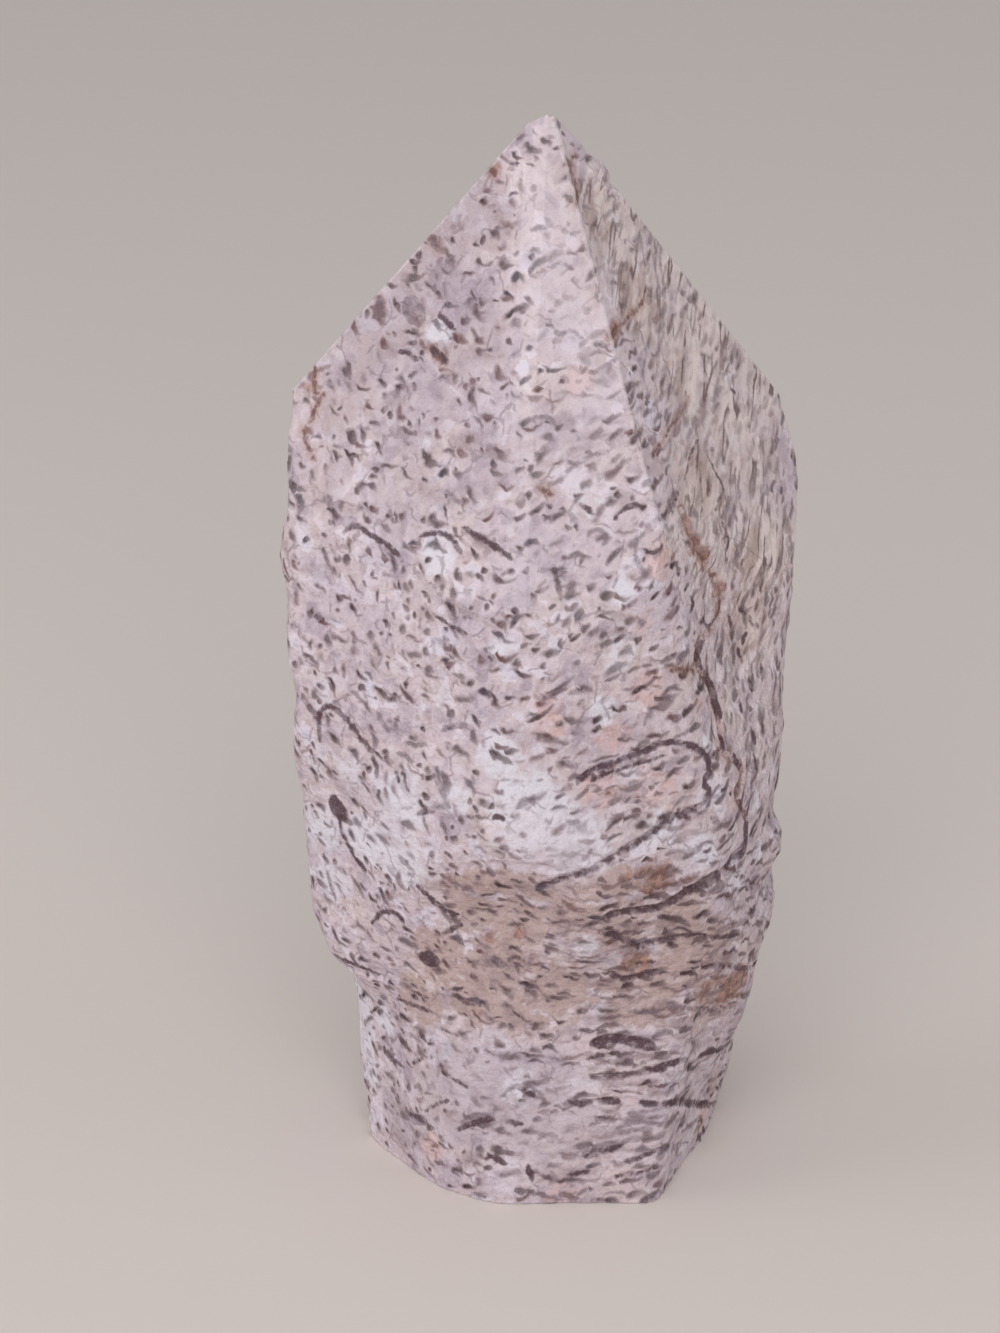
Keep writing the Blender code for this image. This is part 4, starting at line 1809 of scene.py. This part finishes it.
# %% [markdown]
# ## Finish
#
# The ground faces are smooth and half-glossy, the broken skin is dull, so the roughness follows the
# mark kept at the ground points. Bump adds only the grain that is too fine for real points, and
# hardly any of it on the ground faces.

# %% Surface
DULL = 0.70
POLISH = 0.32
BUMP_STRENGTH = 0.8
BUMP_DEPTH = 0.6 * MM

is_ground_layer = kept("ground")
feed(shader.inputs["Base Color"], colour)
feed(shader.inputs["Roughness"], DULL - is_ground_layer * POLISH + (sparkle - 0.5) * 0.2)
grit = cloud(position, 0.8, 4.0)["Fac"]
height = grit * (1.0 - is_ground_layer * 0.93)
bump_inputs = {"Height": height, "Strength": BUMP_STRENGTH, "Distance": BUMP_DEPTH}
feed(shader.inputs["Normal"], add_node("Bump", bump_inputs)["Normal"])
skin.materials.clear()
skin.materials.append(jasper)
print("nodes in the material:", len(nodes))

# %% [markdown]
# ## Floor
#
# The stone needs something pale to stand on, that takes its shadow and throws light back up at it.
# One wide square does.

# %% Floor
FLOOR_REACH = 6.0
FLOOR_DROP = 0.0001
FLOOR_COLOUR = paint(226, 216, 211)
FLOOR_ROUGHNESS = 0.8

floor_mesh = bpy.data.meshes.new("floor")
corners = [
    (-FLOOR_REACH, -FLOOR_REACH, -FLOOR_DROP),
    (FLOOR_REACH, -FLOOR_REACH, -FLOOR_DROP),
    (FLOOR_REACH, FLOOR_REACH, -FLOOR_DROP),
    (-FLOOR_REACH, FLOOR_REACH, -FLOOR_DROP),
]
floor_mesh.from_pydata(corners, [], [(0, 1, 2, 3)])
floor = bpy.data.objects.new("floor", floor_mesh)
scene.collection.objects.link(floor)
floor_paint = bpy.data.materials.new("floor_paint")
floor_paint.use_nodes = True
floor_shader = floor_paint.node_tree.nodes["Principled BSDF"]
floor_shader.inputs["Base Color"].default_value = FLOOR_COLOUR
floor_shader.inputs["Roughness"].default_value = FLOOR_ROUGHNESS
floor_mesh.materials.append(floor_paint)
floor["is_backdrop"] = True
print("floor:", 2.0 * FLOOR_REACH, "metres wide")

# %% [markdown]
# ## Light
#
# The light on the real stone is soft and comes from the front, so a large square lamp stands there,
# high up and a little to the left. A weaker one on each side brings out the skin. The left one is
# the stronger, so the right side of the stone falls into shade. A white room gives the rest.

# %% Light
STONE_MIDDLE = Vector((0.0, 0.0, 0.07))
ROOM_COLOUR = (1.0, 1.0, 1.0, 1.0)
ROOM_STRENGTH = 0.46


def soft_light(name, azimuth, elevation, away, size, power):
    """Add a square light that faces the stone. Azimuth 0 is in front, and grows to the right."""
    data = bpy.data.lights.new(name, "AREA")
    data.size = size
    data.energy = power
    made = bpy.data.objects.new(name, data)
    level_part = cos(radians(elevation))
    toward = Vector((
        sin(radians(azimuth)) * level_part,
        -cos(radians(azimuth)) * level_part,
        sin(radians(elevation)),
    ))
    made.location = STONE_MIDDLE + away * toward
    made.rotation_euler = toward.to_track_quat("Z", "Y").to_euler()
    scene.collection.objects.link(made)
    print("light:", name, power, "watts")


soft_light("key", azimuth=-4.0, elevation=32.0, away=1.3, size=1.0, power=8.4)
soft_light("left_fill", azimuth=-80.0, elevation=10.0, away=1.2, size=0.8, power=4.0)
soft_light("right_fill", azimuth=70.0, elevation=8.0, away=1.2, size=0.8, power=1.2)
room = bpy.data.worlds.new("room")
scene.world = room
room.use_nodes = True
room.node_tree.nodes["Background"].inputs["Color"].default_value = ROOM_COLOUR
room.node_tree.nodes["Background"].inputs["Strength"].default_value = ROOM_STRENGTH
scene.view_settings.view_transform = "Standard"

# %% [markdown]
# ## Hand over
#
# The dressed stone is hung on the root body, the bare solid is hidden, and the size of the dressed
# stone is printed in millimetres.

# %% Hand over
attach(stone, "root")
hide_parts("jasper_point")
dressed_low, dressed_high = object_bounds()
extents = [round((high - low) / MM, 1) for low, high in zip(dressed_low, dressed_high)]
print("dressed stone, in millimetres:", extents)
